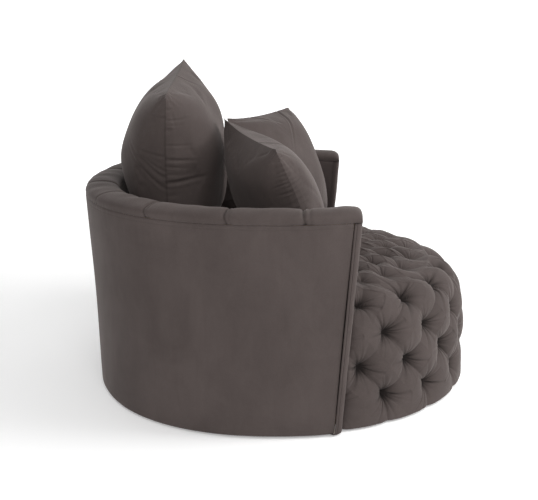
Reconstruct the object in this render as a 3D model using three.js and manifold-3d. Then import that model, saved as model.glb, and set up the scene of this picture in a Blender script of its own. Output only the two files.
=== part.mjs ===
// A round cuddle chair in velvet: a barrel shell with a smooth outside, a rolled rim, a deep
// tufted seat and three loose pillows, turning on a swivel plate hidden under the seat.
// Millimetres, +Z up, front towards -Y. The origin is on the floor, under the swivel axis.
import * as THREE from 'three';
import { mergeVertices } from 'three/addons/utils/BufferGeometryUtils.js';
import Module from 'manifold-3d';

const wasm = await Module();
wasm.setup();

// Clearances
const seatGap = 0.3;
const wallGap = 0.8;
const cutOverrun = 5;

// Swivel base, from the floor up
const glideCount = 6;
const glideRadius = 22;
const glideThickness = 8;
const glideInset = 40;
const floorPlateGap = 61.2;
const floorPlateThickness = 15;
const swivelPlateSide = 300;
const swivelPlateThickness = 3;
const swivelPlateHoleRadius = 70;
const dustHoleRadius = 235;
const boardReliefClearance = 4;
const raceRadius = 110;
const raceWidth = 14;
const raceHeight = 6;
const raceFloor = 2;
const ballRadius = 4;
const ballClearance = 0.5;
const ballCount = 12;
const cageThickness = 1.6;
const spiderWidth = 40;
const rivetRadius = 9;
const rivetClearance = 1;
const rivetHeadRadius = 16;
const rivetHeadThickness = 3;
const boltRadius = 4;
const boltHeadRadius = 8;
const boltHeadThickness = 5;
const boltInset = 28;
const boltClearance = 0.5;

// Shell plan: a superellipse about its own centre, wider at the rim than at the floor
const shellHalfWidth = 553;
const shellHalfDepth = 526;
const shellFlare = 20;
const shellCentreY = 15;
const shellPower = 2.2;
const shellBottom = 5;
const rimSeamHeight = 560;
const armTipBottom = 165;
const armTipTop = 203;

// Shell layers, each measured inwards from the outside face
const outerPanelThickness = 12;
const postThickness = 34;
const linerThickness = 4;
const innerPadThickness = 44;
const innerPadBottom = 300;
const topRailThickness = 20;
const postHalfWidthShare = 0.02;
const postRangeShare = 0.94;
const postCount = 7;
const armPadThickness = 18;
const armPadRounding = 8;
const armPadCornerShare = 0.3;

// Rim roll over the top of the shell
const rimRollHeight = 32;
const rimPleatCount = 10;
const rimPleatDepth = 5;
const rimRoundness = 0.6;
const rimEndShare = 0.65;
const rimEndStartShare = 0.98;

// Seat: a round tufted drum, its front standing out between the arms
const drumHalfWidth = 538;
const drumHalfDepth = 561;
const seatCrownHeight = 385;
const crownRisePower = 7.4;
const crownPlanPower = 3.3;
const sidePadThickness = 128;
const seatSplitHeight = 345;
const topPadShare = 0.8;
const topPadHalfWidth = 450;
const topPadUndercut = 14;
const topPadLeast = 6;
const seatBackClearance = 7.3;
const frontWallThickness = 6;

// Tufting
const columnCount = 22;
const lowestTuftHeight = 73;
const tuftRowPitch = 88;
const tuftDepth = 34;
const pleatDepth = 13;
const tuftFlatness = 3;
const topRowPitchShare = 0.167;
const firstTopRowShare = 0.889;
const lastTopRow = 6;
const skirtFadeShare = 0.3;
const backTuftRise = 35;
const backTopMargin = 54.7;
const backTuftDepth = 22;
const backPleatDepth = 9;

// Seat frame
const boardThickness = 15;
const skirtThickness = 18;
const dustCoverThickness = 1.5;
const seatRingWidth = 60;
const seatRingThickness = 20;
const seatRingTop = 250;
const seatPostSide = 40;
const seatPostCount = 6;
const webWidth = 50;
const webThickness = 2;
const webOverlap = 40;
const longWebCount = 4;
const longWebPitch = 170;
const crossWebCount = 3;
const crossWebPitch = 210;

// Loose pillows, with their edges drawn in between the corners
const backPillowWidth = 490;
const backPillowHeight = 483.2;
const backPillowHalfThickness = 154;
const frontPillowWidth = 420;
const frontPillowHeight = 388;
const frontPillowHalfThickness = 102;
const pillowPinchShare = 0.055;
const pillowFlatness = 2.1;
const pillowCrownPower = 0.6;
const backPillowInset = 141;
const backPillowTop = 911;
const backPillowTilt = THREE.MathUtils.degToRad(8);
const frontPillowX = 228;
const frontPillowLean = THREE.MathUtils.degToRad(23);
const rightPillowY = 8;
const rightPillowLift = 169.6;
const rightPillowTurn = THREE.MathUtils.degToRad(19.7);
const rightPillowRoll = THREE.MathUtils.degToRad(3);
const leftPillowY = -6;
const leftPillowLift = 178.1;
const leftPillowTurn = THREE.MathUtils.degToRad(24.2);

const materials = {
  velvet: new THREE.MeshStandardMaterial({ color: 0x57504d, roughness: 0.85, metalness: 0 }),
  foam: new THREE.MeshStandardMaterial({ color: 0xd9d2bd, roughness: 0.95, metalness: 0 }),
  webbing: new THREE.MeshStandardMaterial({ color: 0x2f2d2c, roughness: 0.9, metalness: 0 }),
  plywood: new THREE.MeshStandardMaterial({ color: 0xb08a5c, roughness: 0.7, metalness: 0 }),
  steel: new THREE.MeshStandardMaterial({ color: 0x8c9094, roughness: 0.4, metalness: 1 }),
  nylon: new THREE.MeshStandardMaterial({ color: 0x1d1d1e, roughness: 0.5, metalness: 0 }),
};

// Heights of the stack, worked out from the floor up
const floorPlateBottom = glideThickness + seatGap;
const floorPlateTop = floorPlateBottom + floorPlateThickness;
const lowerPlateBottom = floorPlateTop + seatGap;
const lowerRaceBottom = lowerPlateBottom + swivelPlateThickness + seatGap;
const ballCentre = lowerRaceBottom + raceFloor + (ballRadius + ballClearance) * Math.SQRT2;
const upperRaceTop = 2 * ballCentre - lowerRaceBottom;
const upperPlateBottom = upperRaceTop + seatGap;
const boardBottom = upperPlateBottom + swivelPlateThickness + seatGap;
const boardTop = boardBottom + boardThickness;
const shellTop = rimSeamHeight - seatGap;
const postInset = outerPanelThickness + wallGap;
const linerInset = postInset + postThickness + wallGap;
const innerPadInset = linerInset + linerThickness + wallGap;
const shellThickness = innerPadInset + innerPadThickness;
const armSetback = armPadThickness + seatGap;
const topRailBottom = shellTop - topRailThickness;
const backTuftHeight = innerPadBottom + backTuftRise;
const backTuftPitch = (shellTop - backTopMargin - backTuftHeight) / 2;
const seatRingBottom = seatRingTop - seatRingThickness;
const longWebBottom = seatRingTop + seatGap;
const crossWebBottom = longWebBottom + webThickness + seatGap;
const coreBottom = crossWebBottom + webThickness + seatGap;
const frontWallInset = sidePadThickness + wallGap;
const ringInset = frontWallInset + frontWallThickness + wallGap;
const skirtInnerInset = frontWallInset + skirtThickness;
const drumHalfLeast = Math.min(drumHalfWidth, drumHalfDepth);
const floorPlateRadius = drumHalfLeast - skirtInnerInset - floorPlateGap;
const glideRingRadius = floorPlateRadius - glideInset;
const flareAtSeat = (shellFlare * innerPadBottom) / rimSeamHeight;
const shellBack = shellCentreY + shellHalfDepth + flareAtSeat;
const seatBackDepth = shellBack - shellThickness - seatBackClearance;

const chair = new THREE.Group();

// Small geometry helpers
function addMesh(name, geometry, material) {
  const mesh = new THREE.Mesh(geometry, material);
  mesh.name = name;
  chair.add(mesh);
  return mesh;
}

function signedVolume(points, triangles) {
  let volume = 0;
  for (const [a, b, c] of triangles) {
    volume += points[a].dot(new THREE.Vector3().crossVectors(points[b], points[c]));
  }
  return volume;
}

function toGeometry(points, triangles) {
  const inward = signedVolume(points, triangles) < 0;
  const geometry = new THREE.BufferGeometry();
  const flat = points.flatMap((p) => p.toArray());
  geometry.setAttribute('position', new THREE.Float32BufferAttribute(flat, 3));
  geometry.setIndex(triangles.flatMap(([a, b, c]) => (inward ? [a, c, b] : [a, b, c])));
  geometry.computeVertexNormals();
  return geometry;
}

// Joins matching closed sections into one solid. splitOther chooses each face's diagonal.
function loft(sections, splitOther = () => false) {
  const count = sections[0].length;
  const points = sections.flat();
  const triangles = [];
  for (let i = 0; i < sections.length - 1; i += 1) {
    for (let j = 0; j < count; j += 1) {
      const a = i * count + j;
      const b = i * count + ((j + 1) % count);
      const c = b + count;
      const d = a + count;
      if (splitOther(i, j)) triangles.push([a, b, d], [b, c, d]);
      else triangles.push([a, b, c], [a, c, d]);
    }
  }
  const last = (sections.length - 1) * count;
  for (let j = 1; j < count - 1; j += 1) {
    triangles.push([0, j + 1, j], [last, last + j, last + j + 1]);
  }
  return toGeometry(points, triangles);
}

function toManifold(geometry) {
  const bare = geometry.clone();
  bare.deleteAttribute('normal');
  bare.deleteAttribute('uv');
  const merged = mergeVertices(bare);
  return new wasm.Manifold(new wasm.Mesh({
    numProp: 3,
    vertProperties: new Float32Array(merged.attributes.position.array),
    triVerts: new Uint32Array(merged.index.array),
  }));
}

function fromManifold(body) {
  const mesh = body.getMesh();
  const geometry = new THREE.BufferGeometry();
  geometry.setAttribute('position', new THREE.BufferAttribute(mesh.vertProperties.slice(), mesh.numProp));
  geometry.setIndex(new THREE.BufferAttribute(mesh.triVerts.slice(), 1));
  geometry.computeVertexNormals();
  return geometry;
}

function upright(radius, height, segments, x, y, bottom) {
  const geometry = new THREE.CylinderGeometry(radius, radius, height, segments);
  geometry.rotateX(Math.PI / 2);
  geometry.translate(x, y, bottom + height / 2);
  return geometry;
}

function block(width, depth, height, x, y, bottom) {
  const geometry = new THREE.BoxGeometry(width, depth, height);
  geometry.translate(x, y, bottom + height / 2);
  return geometry;
}

function plate(outline, holes, bottom, thickness) {
  const shape = new THREE.Shape(outline);
  shape.holes = holes.map((points) => new THREE.Path(points));
  const geometry = new THREE.ExtrudeGeometry(shape, { depth: thickness, bevelEnabled: false });
  geometry.translate(0, 0, bottom);
  return geometry;
}

function lathe(profile, segments) {
  const geometry = new THREE.LatheGeometry(profile.map(([r, z]) => new THREE.Vector2(r, z)), segments);
  geometry.rotateX(Math.PI / 2);
  return geometry;
}

function steps(count, low, high) {
  return Array.from({ length: count + 1 }, (_, i) => low + ((high - low) * i) / count);
}

// Plan of the barrel shell
function armTipY(z) {
  return -(armTipBottom + ((armTipTop - armTipBottom) * z) / rimSeamHeight);
}

// Half axes of the shell's plan at a height and inset, and its angle where it meets the arm tips
function shellPlan(z, inset, setback) {
  const flare = (shellFlare * z) / rimSeamHeight;
  const a = shellHalfWidth + flare - inset;
  const b = shellHalfDepth + flare - inset;
  const endY = armTipY(z) + setback - shellCentreY;
  const endX = a * (1 - (Math.abs(endY) / b) ** shellPower) ** (1 / shellPower);
  return { a, b, end: Math.atan2(endX, endY) };
}

// A point of the shell: t runs from -1 at the sitter's right arm tip round the back to 1 at the
// left one's. Inset is measured in from the outside face, setback from the plane of the tips.
// Only the two ends follow the leaning plane, so that the walls between them stay parallel.
function shellPoint(t, z, inset, setback) {
  const { a, b, end } = shellPlan(z, inset, setback);
  const angle = Math.abs(t) === 1 ? t * end : t * shellPlan(0, 0, armSetback).end;
  const sine = Math.abs(Math.sin(angle)) / a;
  const cosine = Math.abs(Math.cos(angle)) / b;
  const radius = (sine ** shellPower + cosine ** shellPower) ** (-1 / shellPower);
  return new THREE.Vector3(radius * Math.sin(angle), shellCentreY + radius * Math.cos(angle), z);
}

// A wall of the shell between two insets and two heights
function shellWall({ from, to, segments, bottom, top, outer, inner, setback }) {
  const sections = steps(segments, from, to).map((t) => [
    shellPoint(t, bottom, outer, setback),
    shellPoint(t, top, outer, setback),
    shellPoint(t, top, inner, setback),
    shellPoint(t, bottom, inner, setback),
  ]);
  return loft(sections);
}

// Share of the drum's plan that its crown still covers at a height, and the other way round
function crownShare(z) {
  return (1 - (z / seatCrownHeight) ** crownRisePower) ** (1 / crownPlanPower);
}

function crownHeight(share) {
  return seatCrownHeight * (1 - share ** crownPlanPower) ** (1 / crownRisePower);
}

// A point on an ellipse about the swivel axis. The angle is 0 at the front and grows towards +X.
function ellipsePoint(angle, a, b, z, power = 2) {
  const sine = Math.abs(Math.sin(angle)) / a;
  const cosine = Math.abs(Math.cos(angle)) / b;
  const radius = (sine ** power + cosine ** power) ** (-1 / power);
  return new THREE.Vector3(radius * Math.sin(angle), -radius * Math.cos(angle), z);
}

// A point on the seat's plan: the drum's ellipse in front, the shell's fuller curve behind
function seatPoint(angle, a, front, back, z) {
  const ahead = Math.cos(angle) > 0;
  return ellipsePoint(angle, a, ahead ? front : back, z, ahead ? 2 : shellPower);
}

// Angle at which such an ellipse passes a given distance in front of the swivel axis
function angleAtFront(a, b, distance) {
  return Math.atan2(a * Math.sqrt(1 - (distance / b) ** 2), distance);
}

// A curved wall under the front of the seat, between two insets from the drum's widest plan
function drumWall({ bottom, top, outer, inner, segments }) {
  const corner = (share, inset, z) => {
    const a = drumHalfWidth - inset;
    const b = drumHalfDepth - inset;
    return ellipsePoint(share * angleAtFront(a, b, armTipTop), a, b, z);
  };
  return loft(steps(segments, -1, 1).map((share) => [
    corner(share, outer, bottom),
    corner(share, outer, top),
    corner(share, inner, top),
    corner(share, inner, bottom),
  ]));
}

// Depth below the crown of a diamond-tufted surface. Tufts lie where column and row are whole
// and their sum is odd; pleats join each tuft to its four nearest neighbours.
function tuftRelief(column, row, deepest, pleat) {
  const c = Math.floor(column);
  const r = Math.floor(row);
  const even = (c + r) % 2 === 0;
  const u = even ? 1 - (column - c) : column - c;
  const v = row - r;
  const off = Math.abs(u - v);
  const reach = Math.abs(u + v - 1);
  return (pleat + (deepest - pleat) * reach ** tuftFlatness) * (1 - off) ** 2;
}

// Swivel base: glides, floor plate, lower plate, race, balls and rivet
function addSwivelBase() {
  for (let i = 0; i < glideCount; i += 1) {
    const angle = (2 * Math.PI * i) / glideCount;
    const x = glideRingRadius * Math.sin(angle);
    const y = -glideRingRadius * Math.cos(angle);
    addMesh(`glide_${i + 1}`, upright(glideRadius, glideThickness, 20, x, y, 0), materials.nylon);
  }
  const floorPlate = upright(floorPlateRadius, floorPlateThickness, 56, 0, 0, floorPlateBottom);
  addMesh('floor_plate', floorPlate, materials.plywood);

  const side = swivelPlateSide / 2;
  const square = [[-side, -side], [side, -side], [side, side], [-side, side]];
  const corners = square.map(([x, y]) => new THREE.Vector2(x, y));
  const places = square.map(([x, y]) => [x - Math.sign(x) * boltInset, y - Math.sign(y) * boltInset]);
  const boltHoles = places.map(([x, y]) => new THREE.Path()
    .absarc(x, y, boltRadius + boltClearance, 0, 2 * Math.PI, true).getPoints(8));
  const hub = (bottom) => {
    const ring = new THREE.Path().absarc(0, 0, swivelPlateHoleRadius, 0, 2 * Math.PI, true);
    const open = plate(corners, [ring.getPoints(24), ...boltHoles], bottom, swivelPlateThickness);
    const armLength = 2 * swivelPlateHoleRadius + cutOverrun;
    const armA = block(armLength, spiderWidth, swivelPlateThickness, 0, 0, bottom);
    const armB = block(spiderWidth, armLength, swivelPlateThickness, 0, 0, bottom);
    return toManifold(open).add(toManifold(armA)).add(toManifold(armB));
  };
  const lowerHub = hub(lowerPlateBottom);
  const pinHole = upright(rivetRadius + seatGap, swivelPlateSide, 20, 0, 0, 0);
  addMesh('lower_swivel_plate', fromManifold(lowerHub.subtract(toManifold(pinHole))), materials.steel);
  const upperHub = hub(upperPlateBottom);
  const turnHole = upright(rivetRadius + rivetClearance, swivelPlateSide, 20, 0, 0, 0);
  addMesh('upper_swivel_plate', fromManifold(upperHub.subtract(toManifold(turnHole))), materials.steel);

  const innerRadius = raceRadius - raceWidth / 2;
  const outerRadius = raceRadius + raceWidth / 2;
  const grooveHalf = raceHeight - raceFloor;
  const race = (base, up) => lathe([
    [innerRadius, base],
    [outerRadius, base],
    [outerRadius, base + up * raceHeight],
    [raceRadius + grooveHalf, base + up * raceHeight],
    [raceRadius, base + up * raceFloor],
    [raceRadius - grooveHalf, base + up * raceHeight],
    [innerRadius, base + up * raceHeight],
    [innerRadius, base],
  ], 48);
  addMesh('lower_race', orient(race(lowerRaceBottom, 1)), materials.steel);
  addMesh('upper_race', orient(race(upperRaceTop, -1)), materials.steel);

  let cage = toManifold(orient(lathe([
    [innerRadius, ballCentre - cageThickness / 2],
    [outerRadius, ballCentre - cageThickness / 2],
    [outerRadius, ballCentre + cageThickness / 2],
    [innerRadius, ballCentre + cageThickness / 2],
    [innerRadius, ballCentre - cageThickness / 2],
  ], 24)));
  for (let i = 0; i < ballCount; i += 1) {
    const angle = (2 * Math.PI * (i + 0.5)) / ballCount;
    const ball = new THREE.SphereGeometry(ballRadius, 8, 6);
    ball.translate(raceRadius * Math.cos(angle), raceRadius * Math.sin(angle), ballCentre);
    cage = cage.add(toManifold(ball));
  }
  addMesh('ball_cage', fromManifold(cage), materials.steel);

  const headBottom = upperPlateBottom + swivelPlateThickness + seatGap;
  addMesh('swivel_rivet', orient(lathe([
    [0, floorPlateTop + seatGap],
    [rivetRadius, floorPlateTop + seatGap],
    [rivetRadius, headBottom],
    [rivetHeadRadius, headBottom],
    [rivetHeadRadius, headBottom + rivetHeadThickness],
    [0, headBottom + rivetHeadThickness],
  ], 24)), materials.steel);

  places.forEach(([x, y], i) => {
    addMesh(`lower_screw_${i + 1}`, lowerScrew(x, y), materials.steel);
    addMesh(`upper_bolt_${i + 1}`, upperBolt(x, y), materials.steel);
  });
}

function orient(geometry) {
  const bare = geometry.clone();
  bare.deleteAttribute('normal');
  bare.deleteAttribute('uv');
  const merged = mergeVertices(bare);
  const flat = merged.attributes.position;
  const points = Array.from({ length: flat.count }, (_, i) => (
    new THREE.Vector3().fromBufferAttribute(flat, i)
  ));
  const triangles = [];
  for (let i = 0; i < merged.index.count; i += 3) {
    const [a, b, c] = [0, 1, 2].map((k) => merged.index.getX(i + k));
    if (a !== b && b !== c && c !== a) triangles.push([a, b, c]);
  }
  return toGeometry(points, triangles);
}

// A screw whose shank ends flush with the plate it holds down
function lowerScrew(x, y) {
  const shankTop = lowerPlateBottom + swivelPlateThickness + seatGap;
  const screw = lathe([
    [0, lowerPlateBottom + seatGap],
    [boltRadius, lowerPlateBottom + seatGap],
    [boltRadius, shankTop],
    [boltHeadRadius, shankTop],
    [boltHeadRadius, shankTop + boltHeadThickness],
    [0, shankTop + boltHeadThickness],
  ], 12);
  return orient(screw.translate(x, y, 0));
}

function upperBolt(x, y) {
  const shankBottom = upperPlateBottom - seatGap;
  const bolt = lathe([
    [0, shankBottom - boltHeadThickness],
    [boltHeadRadius, shankBottom - boltHeadThickness],
    [boltHeadRadius, shankBottom],
    [boltRadius, shankBottom],
    [boltRadius, boardTop],
    [0, boardTop],
  ], 12);
  return orient(bolt.translate(x, y, 0));
}

// Outline of the boards under the seat: the shell's plan behind, the drum's front before it
function boardOutline(shellInset, drumInset, z) {
  const back = steps(48, 1, -1).map((t) => shellPoint(t, z, shellInset, armSetback));
  const a = drumHalfWidth - drumInset;
  const b = drumHalfDepth - drumInset;
  const end = angleAtFront(a, b, -back[0].y);
  const front = steps(32, -end, end).map((angle) => ellipsePoint(angle, a, b, z));
  return [...back, ...front].map((p) => new THREE.Vector2(p.x, p.y));
}

function addBoards() {
  const half = swivelPlateSide / 2 - boltInset;
  const outline = boardOutline(postInset, frontWallInset, boardBottom);
  const drillLength = boardThickness + 2 * cutOverrun;
  const drillBottom = boardBottom - cutOverrun;
  let board = toManifold(plate(outline, [], boardBottom, boardThickness));
  for (const [x, y] of [[-half, -half], [half, -half], [half, half], [-half, half]]) {
    const drill = upright(boltRadius + boltClearance, drillLength, 16, x, y, drillBottom);
    board = board.subtract(toManifold(drill));
  }
  const relief = rivetHeadRadius + boardReliefClearance;
  const reliefDrill = upright(relief, drillLength, 24, 0, 0, drillBottom);
  board = board.subtract(toManifold(reliefDrill));
  addMesh('bottom_board', fromManifold(board), materials.plywood);

  const skirtTop = boardBottom - seatGap;
  addMesh('skirt_rail_back', shellWall({
    from: -1, to: 1, segments: 56, bottom: shellBottom, top: skirtTop,
    outer: postInset, inner: postInset + skirtThickness, setback: armSetback,
  }), materials.plywood);
  addMesh('skirt_rail_front', drumWall({
    bottom: shellBottom, top: skirtTop, segments: 32,
    outer: frontWallInset, inner: frontWallInset + skirtThickness,
  }), materials.plywood);

  const clothInset = skirtThickness + wallGap;
  const clothOutline = boardOutline(postInset + clothInset, frontWallInset + clothInset, boardBottom);
  const clothHole = new THREE.Path().absarc(0, 0, dustHoleRadius, 0, 2 * Math.PI, true);
  const clothBottom = skirtTop - dustCoverThickness;
  const cloth = plate(clothOutline, [clothHole.getPoints(24)], clothBottom, dustCoverThickness);
  addMesh('dust_cover', cloth, materials.webbing);
}

// Shell: posts, top rail, liner, smooth outer panel, tufted inner pad, arm pads and rim roll
function addShell() {
  for (let i = 0; i < postCount; i += 1) {
    const place = postRangeShare * ((2 * i) / (postCount - 1) - 1);
    addMesh(`shell_post_${i + 1}`, shellWall({
      from: place - postHalfWidthShare, to: place + postHalfWidthShare, segments: 1,
      bottom: boardTop + seatGap, top: topRailBottom - seatGap,
      outer: postInset, inner: postInset + postThickness, setback: armSetback,
    }), materials.plywood);
  }
  addMesh('top_rail', shellWall({
    from: -1, to: 1, segments: 56, bottom: topRailBottom, top: shellTop,
    outer: postInset, inner: linerInset + linerThickness, setback: armSetback,
  }), materials.plywood);
  addMesh('inner_liner', shellWall({
    from: -1, to: 1, segments: 56, bottom: boardTop + seatGap, top: topRailBottom - seatGap,
    outer: linerInset, inner: linerInset + linerThickness, setback: armSetback,
  }), materials.plywood);
  addMesh('outer_panel', shellWall({
    from: -1, to: 1, segments: 56, bottom: shellBottom, top: shellTop,
    outer: 0, inner: outerPanelThickness, setback: armSetback,
  }), materials.velvet);
  addMesh('inner_back_pad', innerBackPad(), materials.velvet);
  addMesh('arm_pad_right', armPad(-1), materials.velvet);
  addMesh('arm_pad_left', armPad(1), materials.velvet);
  addMesh('rim_roll', rimRoll(), materials.velvet);
}

// The tufts of the inner back stand under the pleats of the rim, which lie at odd columns
function innerBackPad() {
  const detail = 2;
  const topRow = (shellTop - backTuftHeight) / backTuftPitch;
  const bottomRow = (innerPadBottom - backTuftHeight) / backTuftPitch;
  const rows = [bottomRow, 0, 0.5, 1, 1.5, 2, (2 + topRow) / 2, topRow];
  const columns = steps(2 * rimPleatCount * detail, -rimPleatCount, rimPleatCount);
  const sections = columns.map((column) => {
    const t = column / rimPleatCount;
    const face = rows.map((row) => {
      const depth = tuftRelief(column, Math.min(Math.max(row, 0), 2), backTuftDepth, backPleatDepth);
      const z = backTuftHeight + row * backTuftPitch;
      return shellPoint(t, z, shellThickness - depth * fadeBeyond(row, 0, 2), armSetback);
    });
    return [
      ...face,
      shellPoint(t, shellTop, innerPadInset, armSetback),
      shellPoint(t, innerPadBottom, innerPadInset, armSetback),
    ];
  });
  return loft(sections, (i, j) => {
    const column = Math.floor((columns[i] + columns[i + 1]) / 2);
    const row = Math.floor((rows[j] + (rows[j + 1] ?? topRow)) / 2);
    return (column + row) % 2 === 0;
  });
}

// Tufting fades out over one row beyond its first and last rows
function fadeBeyond(row, first, last) {
  const beyond = Math.max(first - row, row - last, 0);
  return 1 - (1 - skirtFadeShare) * Math.min(beyond, 1);
}

function armPad(side) {
  const soft = armPadRounding;
  const near = armPadRounding * armPadCornerShare;
  const outline = [
    [0, armPadThickness],
    [0, soft],
    [near, near],
    [soft, 0],
    [shellThickness - soft, 0],
    [shellThickness - near, near],
    [shellThickness, soft],
    [shellThickness, armPadThickness],
  ];
  return loft(steps(6, shellBottom, shellTop).map((z) => outline.map(([inset, setback]) => (
    shellPoint(side, z, inset, setback)
  ))));
}

function rimRoll() {
  const detail = 2;
  const inner = steps(2 * rimPleatCount * detail, -rimPleatCount, rimPleatCount).slice(1, -1);
  const ends = [rimEndStartShare, 1].map((share) => share * rimPleatCount);
  const columns = [-ends[1], -ends[0], ...inner, ends[0], ends[1]];
  return loft(columns.map((column) => {
    const t = column / rimPleatCount;
    const height = Math.abs(t) === 1 ? rimRollHeight * rimEndShare : rimRollHeight;
    const pleat = Math.abs(column) % 2 === 1 ? rimPleatDepth : 0;
    return steps(9, 0, Math.PI).map((angle) => {
      const rise = Math.sin(angle) ** rimRoundness * (height - pleat);
      const inset = (shellThickness / 2) * (1 - Math.cos(angle));
      return shellPoint(t, rimSeamHeight + rise, inset, 0);
    });
  }));
}

// Seat frame: front wall, ring, posts and webbing
function seatOutline(inset, z) {
  const a = drumHalfWidth - inset;
  const back = seatBackDepth - (inset - ringInset);
  return steps(63, 0, (2 * Math.PI * 63) / 64).map((angle) => (
    seatPoint(angle, a, drumHalfDepth - inset, back, z)
  ));
}

function addSeatFrame() {
  addMesh('front_wall', drumWall({
    bottom: boardTop + seatGap, top: seatSplitHeight, segments: 32,
    outer: frontWallInset, inner: frontWallInset + frontWallThickness,
  }), materials.plywood);

  const flat = (points) => points.map((p) => new THREE.Vector2(p.x, p.y));
  const outer = flat(seatOutline(ringInset, 0));
  const hole = flat(seatOutline(ringInset + seatRingWidth, 0)).reverse();
  addMesh('seat_ring', plate(outer, [hole], seatRingBottom, seatRingThickness), materials.plywood);
  addMesh('seat_core', plate(outer, [], coreBottom, seatSplitHeight - coreBottom), materials.foam);

  const middle = ringInset + seatRingWidth / 2;
  const postBottom = boardTop + seatGap;
  for (let i = 0; i < seatPostCount; i += 1) {
    const angle = (2 * Math.PI * (i + 0.5)) / seatPostCount;
    const back = seatBackDepth - (middle - ringInset);
    const p = seatPoint(angle, drumHalfWidth - middle, drumHalfDepth - middle, back, 0);
    const height = seatRingBottom - seatGap - postBottom;
    const post = block(seatPostSide, seatPostSide, height, p.x, p.y, postBottom);
    addMesh(`seat_post_${i + 1}`, post, materials.plywood);
  }

  const holeA = drumHalfWidth - ringInset - seatRingWidth;
  const holeFront = drumHalfDepth - ringInset - seatRingWidth;
  const holeBack = seatBackDepth - seatRingWidth;
  for (let i = 0; i < longWebCount; i += 1) {
    const x = (i - (longWebCount - 1) / 2) * longWebPitch;
    const reach = Math.sqrt(1 - (x / holeA) ** 2);
    const front = holeFront * reach + webOverlap;
    const back = holeBack * reach + webOverlap;
    const web = block(webWidth, front + back, webThickness, x, (back - front) / 2, longWebBottom);
    addMesh(`web_long_${i + 1}`, web, materials.webbing);
  }
  for (let i = 0; i < crossWebCount; i += 1) {
    const y = (i - (crossWebCount - 1) / 2) * crossWebPitch;
    const reach = holeA * Math.sqrt(1 - (y / (y < 0 ? holeFront : holeBack)) ** 2) + webOverlap;
    const web = block(2 * reach, webWidth, webThickness, 0, y, crossWebBottom);
    addMesh(`web_cross_${i + 1}`, web, materials.webbing);
  }
}

// Seat upholstery
const halfColumn = Math.PI / columnCount;

function sidePad() {
  const detail = 3;
  const lastColumn = 8;
  const lastColumnShare = 0.97;
  const topRow = (seatSplitHeight - lowestTuftHeight) / tuftRowPitch;
  const bottomRow = (shellBottom - lowestTuftHeight) / tuftRowPitch;
  const rows = [bottomRow, bottomRow / 2, ...steps(3 * detail, 0, 3), topRow];
  const columns = steps(2 * lastColumn * detail, -lastColumn, lastColumn);
  const outerPoint = (column, row, side) => {
    const z = lowestTuftHeight + row * tuftRowPitch;
    const relief = tuftRelief(column, Math.max(row, 0), tuftDepth, pleatDepth) * fadeBeyond(row, 0, 3);
    const depth = side ? 0 : relief;
    const a = drumHalfWidth * crownShare(z) - depth;
    const b = drumHalfDepth * crownShare(z) - depth;
    const end = angleAtFront(a, b, seatGap - armTipY(z));
    const angle = Math.min(Math.abs(column) * halfColumn, end * lastColumnShare);
    return ellipsePoint(side ? side * end : Math.sign(column) * angle, a, b, z);
  };
  const innerPoint = (column, z, side) => {
    const a = drumHalfWidth - sidePadThickness;
    const b = drumHalfDepth - sidePadThickness;
    const end = angleAtFront(a, b, seatGap - armTipY(side ? z : seatSplitHeight));
    const share = side || (column * lastColumnShare) / lastColumn;
    return ellipsePoint(share * end, a, b, z);
  };
  const section = (column, side) => [
    ...rows.map((row) => outerPoint(column, row, side)),
    innerPoint(column, seatSplitHeight, side),
    innerPoint(column, shellBottom, side),
  ];
  const sections = [
    section(-lastColumn, -1),
    ...columns.map((column) => section(column, 0)),
    section(lastColumn, 1),
  ];
  return loft(sections, (i, j) => {
    const column = Math.floor(columns[Math.max(i - 1, 0)] + 0.5 / detail);
    const row = Math.floor((rows[j] + (rows[j + 1] ?? topRow)) / 2);
    return (column + row) % 2 === 0;
  });
}

// The top pad's rings run from its lower edge over the shoulder to the middle
function topPad() {
  const detail = 2;
  const edgeRow = (seatSplitHeight - lowestTuftHeight) / tuftRowPitch;
  const rows = [edgeRow, 3.5, 4, 4.5, 5, 5.5, lastTopRow, 6.4, 7, 8];
  const columnSteps = steps(2 * columnCount * detail - 1, 0, 2 * columnCount - 1 / detail);
  const shareAt = (row) => (row < 4
    ? firstTopRowShare + ((1 - firstTopRowShare) * (4 - row)) / (4 - edgeRow)
    : firstTopRowShare - (row - 4) * topRowPitchShare);
  const innerShare = shareAt(lastTopRow);
  const ringPoint = (angle, share, z, inset = 0) => {
    const a = share * (topPadHalfWidth - inset);
    const front = share * (drumHalfDepth * topPadShare - inset);
    return seatPoint(angle, a, front, share * (seatBackDepth - inset), z);
  };
  const rings = rows.map((row) => columnSteps.map((column) => {
    const share = shareAt(row);
    const fade = Math.min(share / innerShare, 1) ** 3 * (row === edgeRow ? 0 : 1);
    const depth = tuftRelief(column, Math.min(row, lastTopRow), tuftDepth, pleatDepth) * fade;
    const crown = crownHeight(share * topPadShare);
    const room = Math.max(crown - seatSplitHeight - seatGap - topPadLeast, 0);
    return ringPoint(column * halfColumn, share, crown - Math.min(depth, room));
  }));
  const under = columnSteps.map((column) => (
    ringPoint(column * halfColumn, 1, seatSplitHeight + seatGap, topPadUndercut)
  ));
  return loft([under, ...rings], (i, j) => {
    const column = Math.floor(columnSteps[j] + 0.5 / detail);
    const row = Math.floor((rows[Math.max(i - 1, 0)] + rows[i]) / 2);
    return (column + row) % 2 === 0;
  });
}

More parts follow.
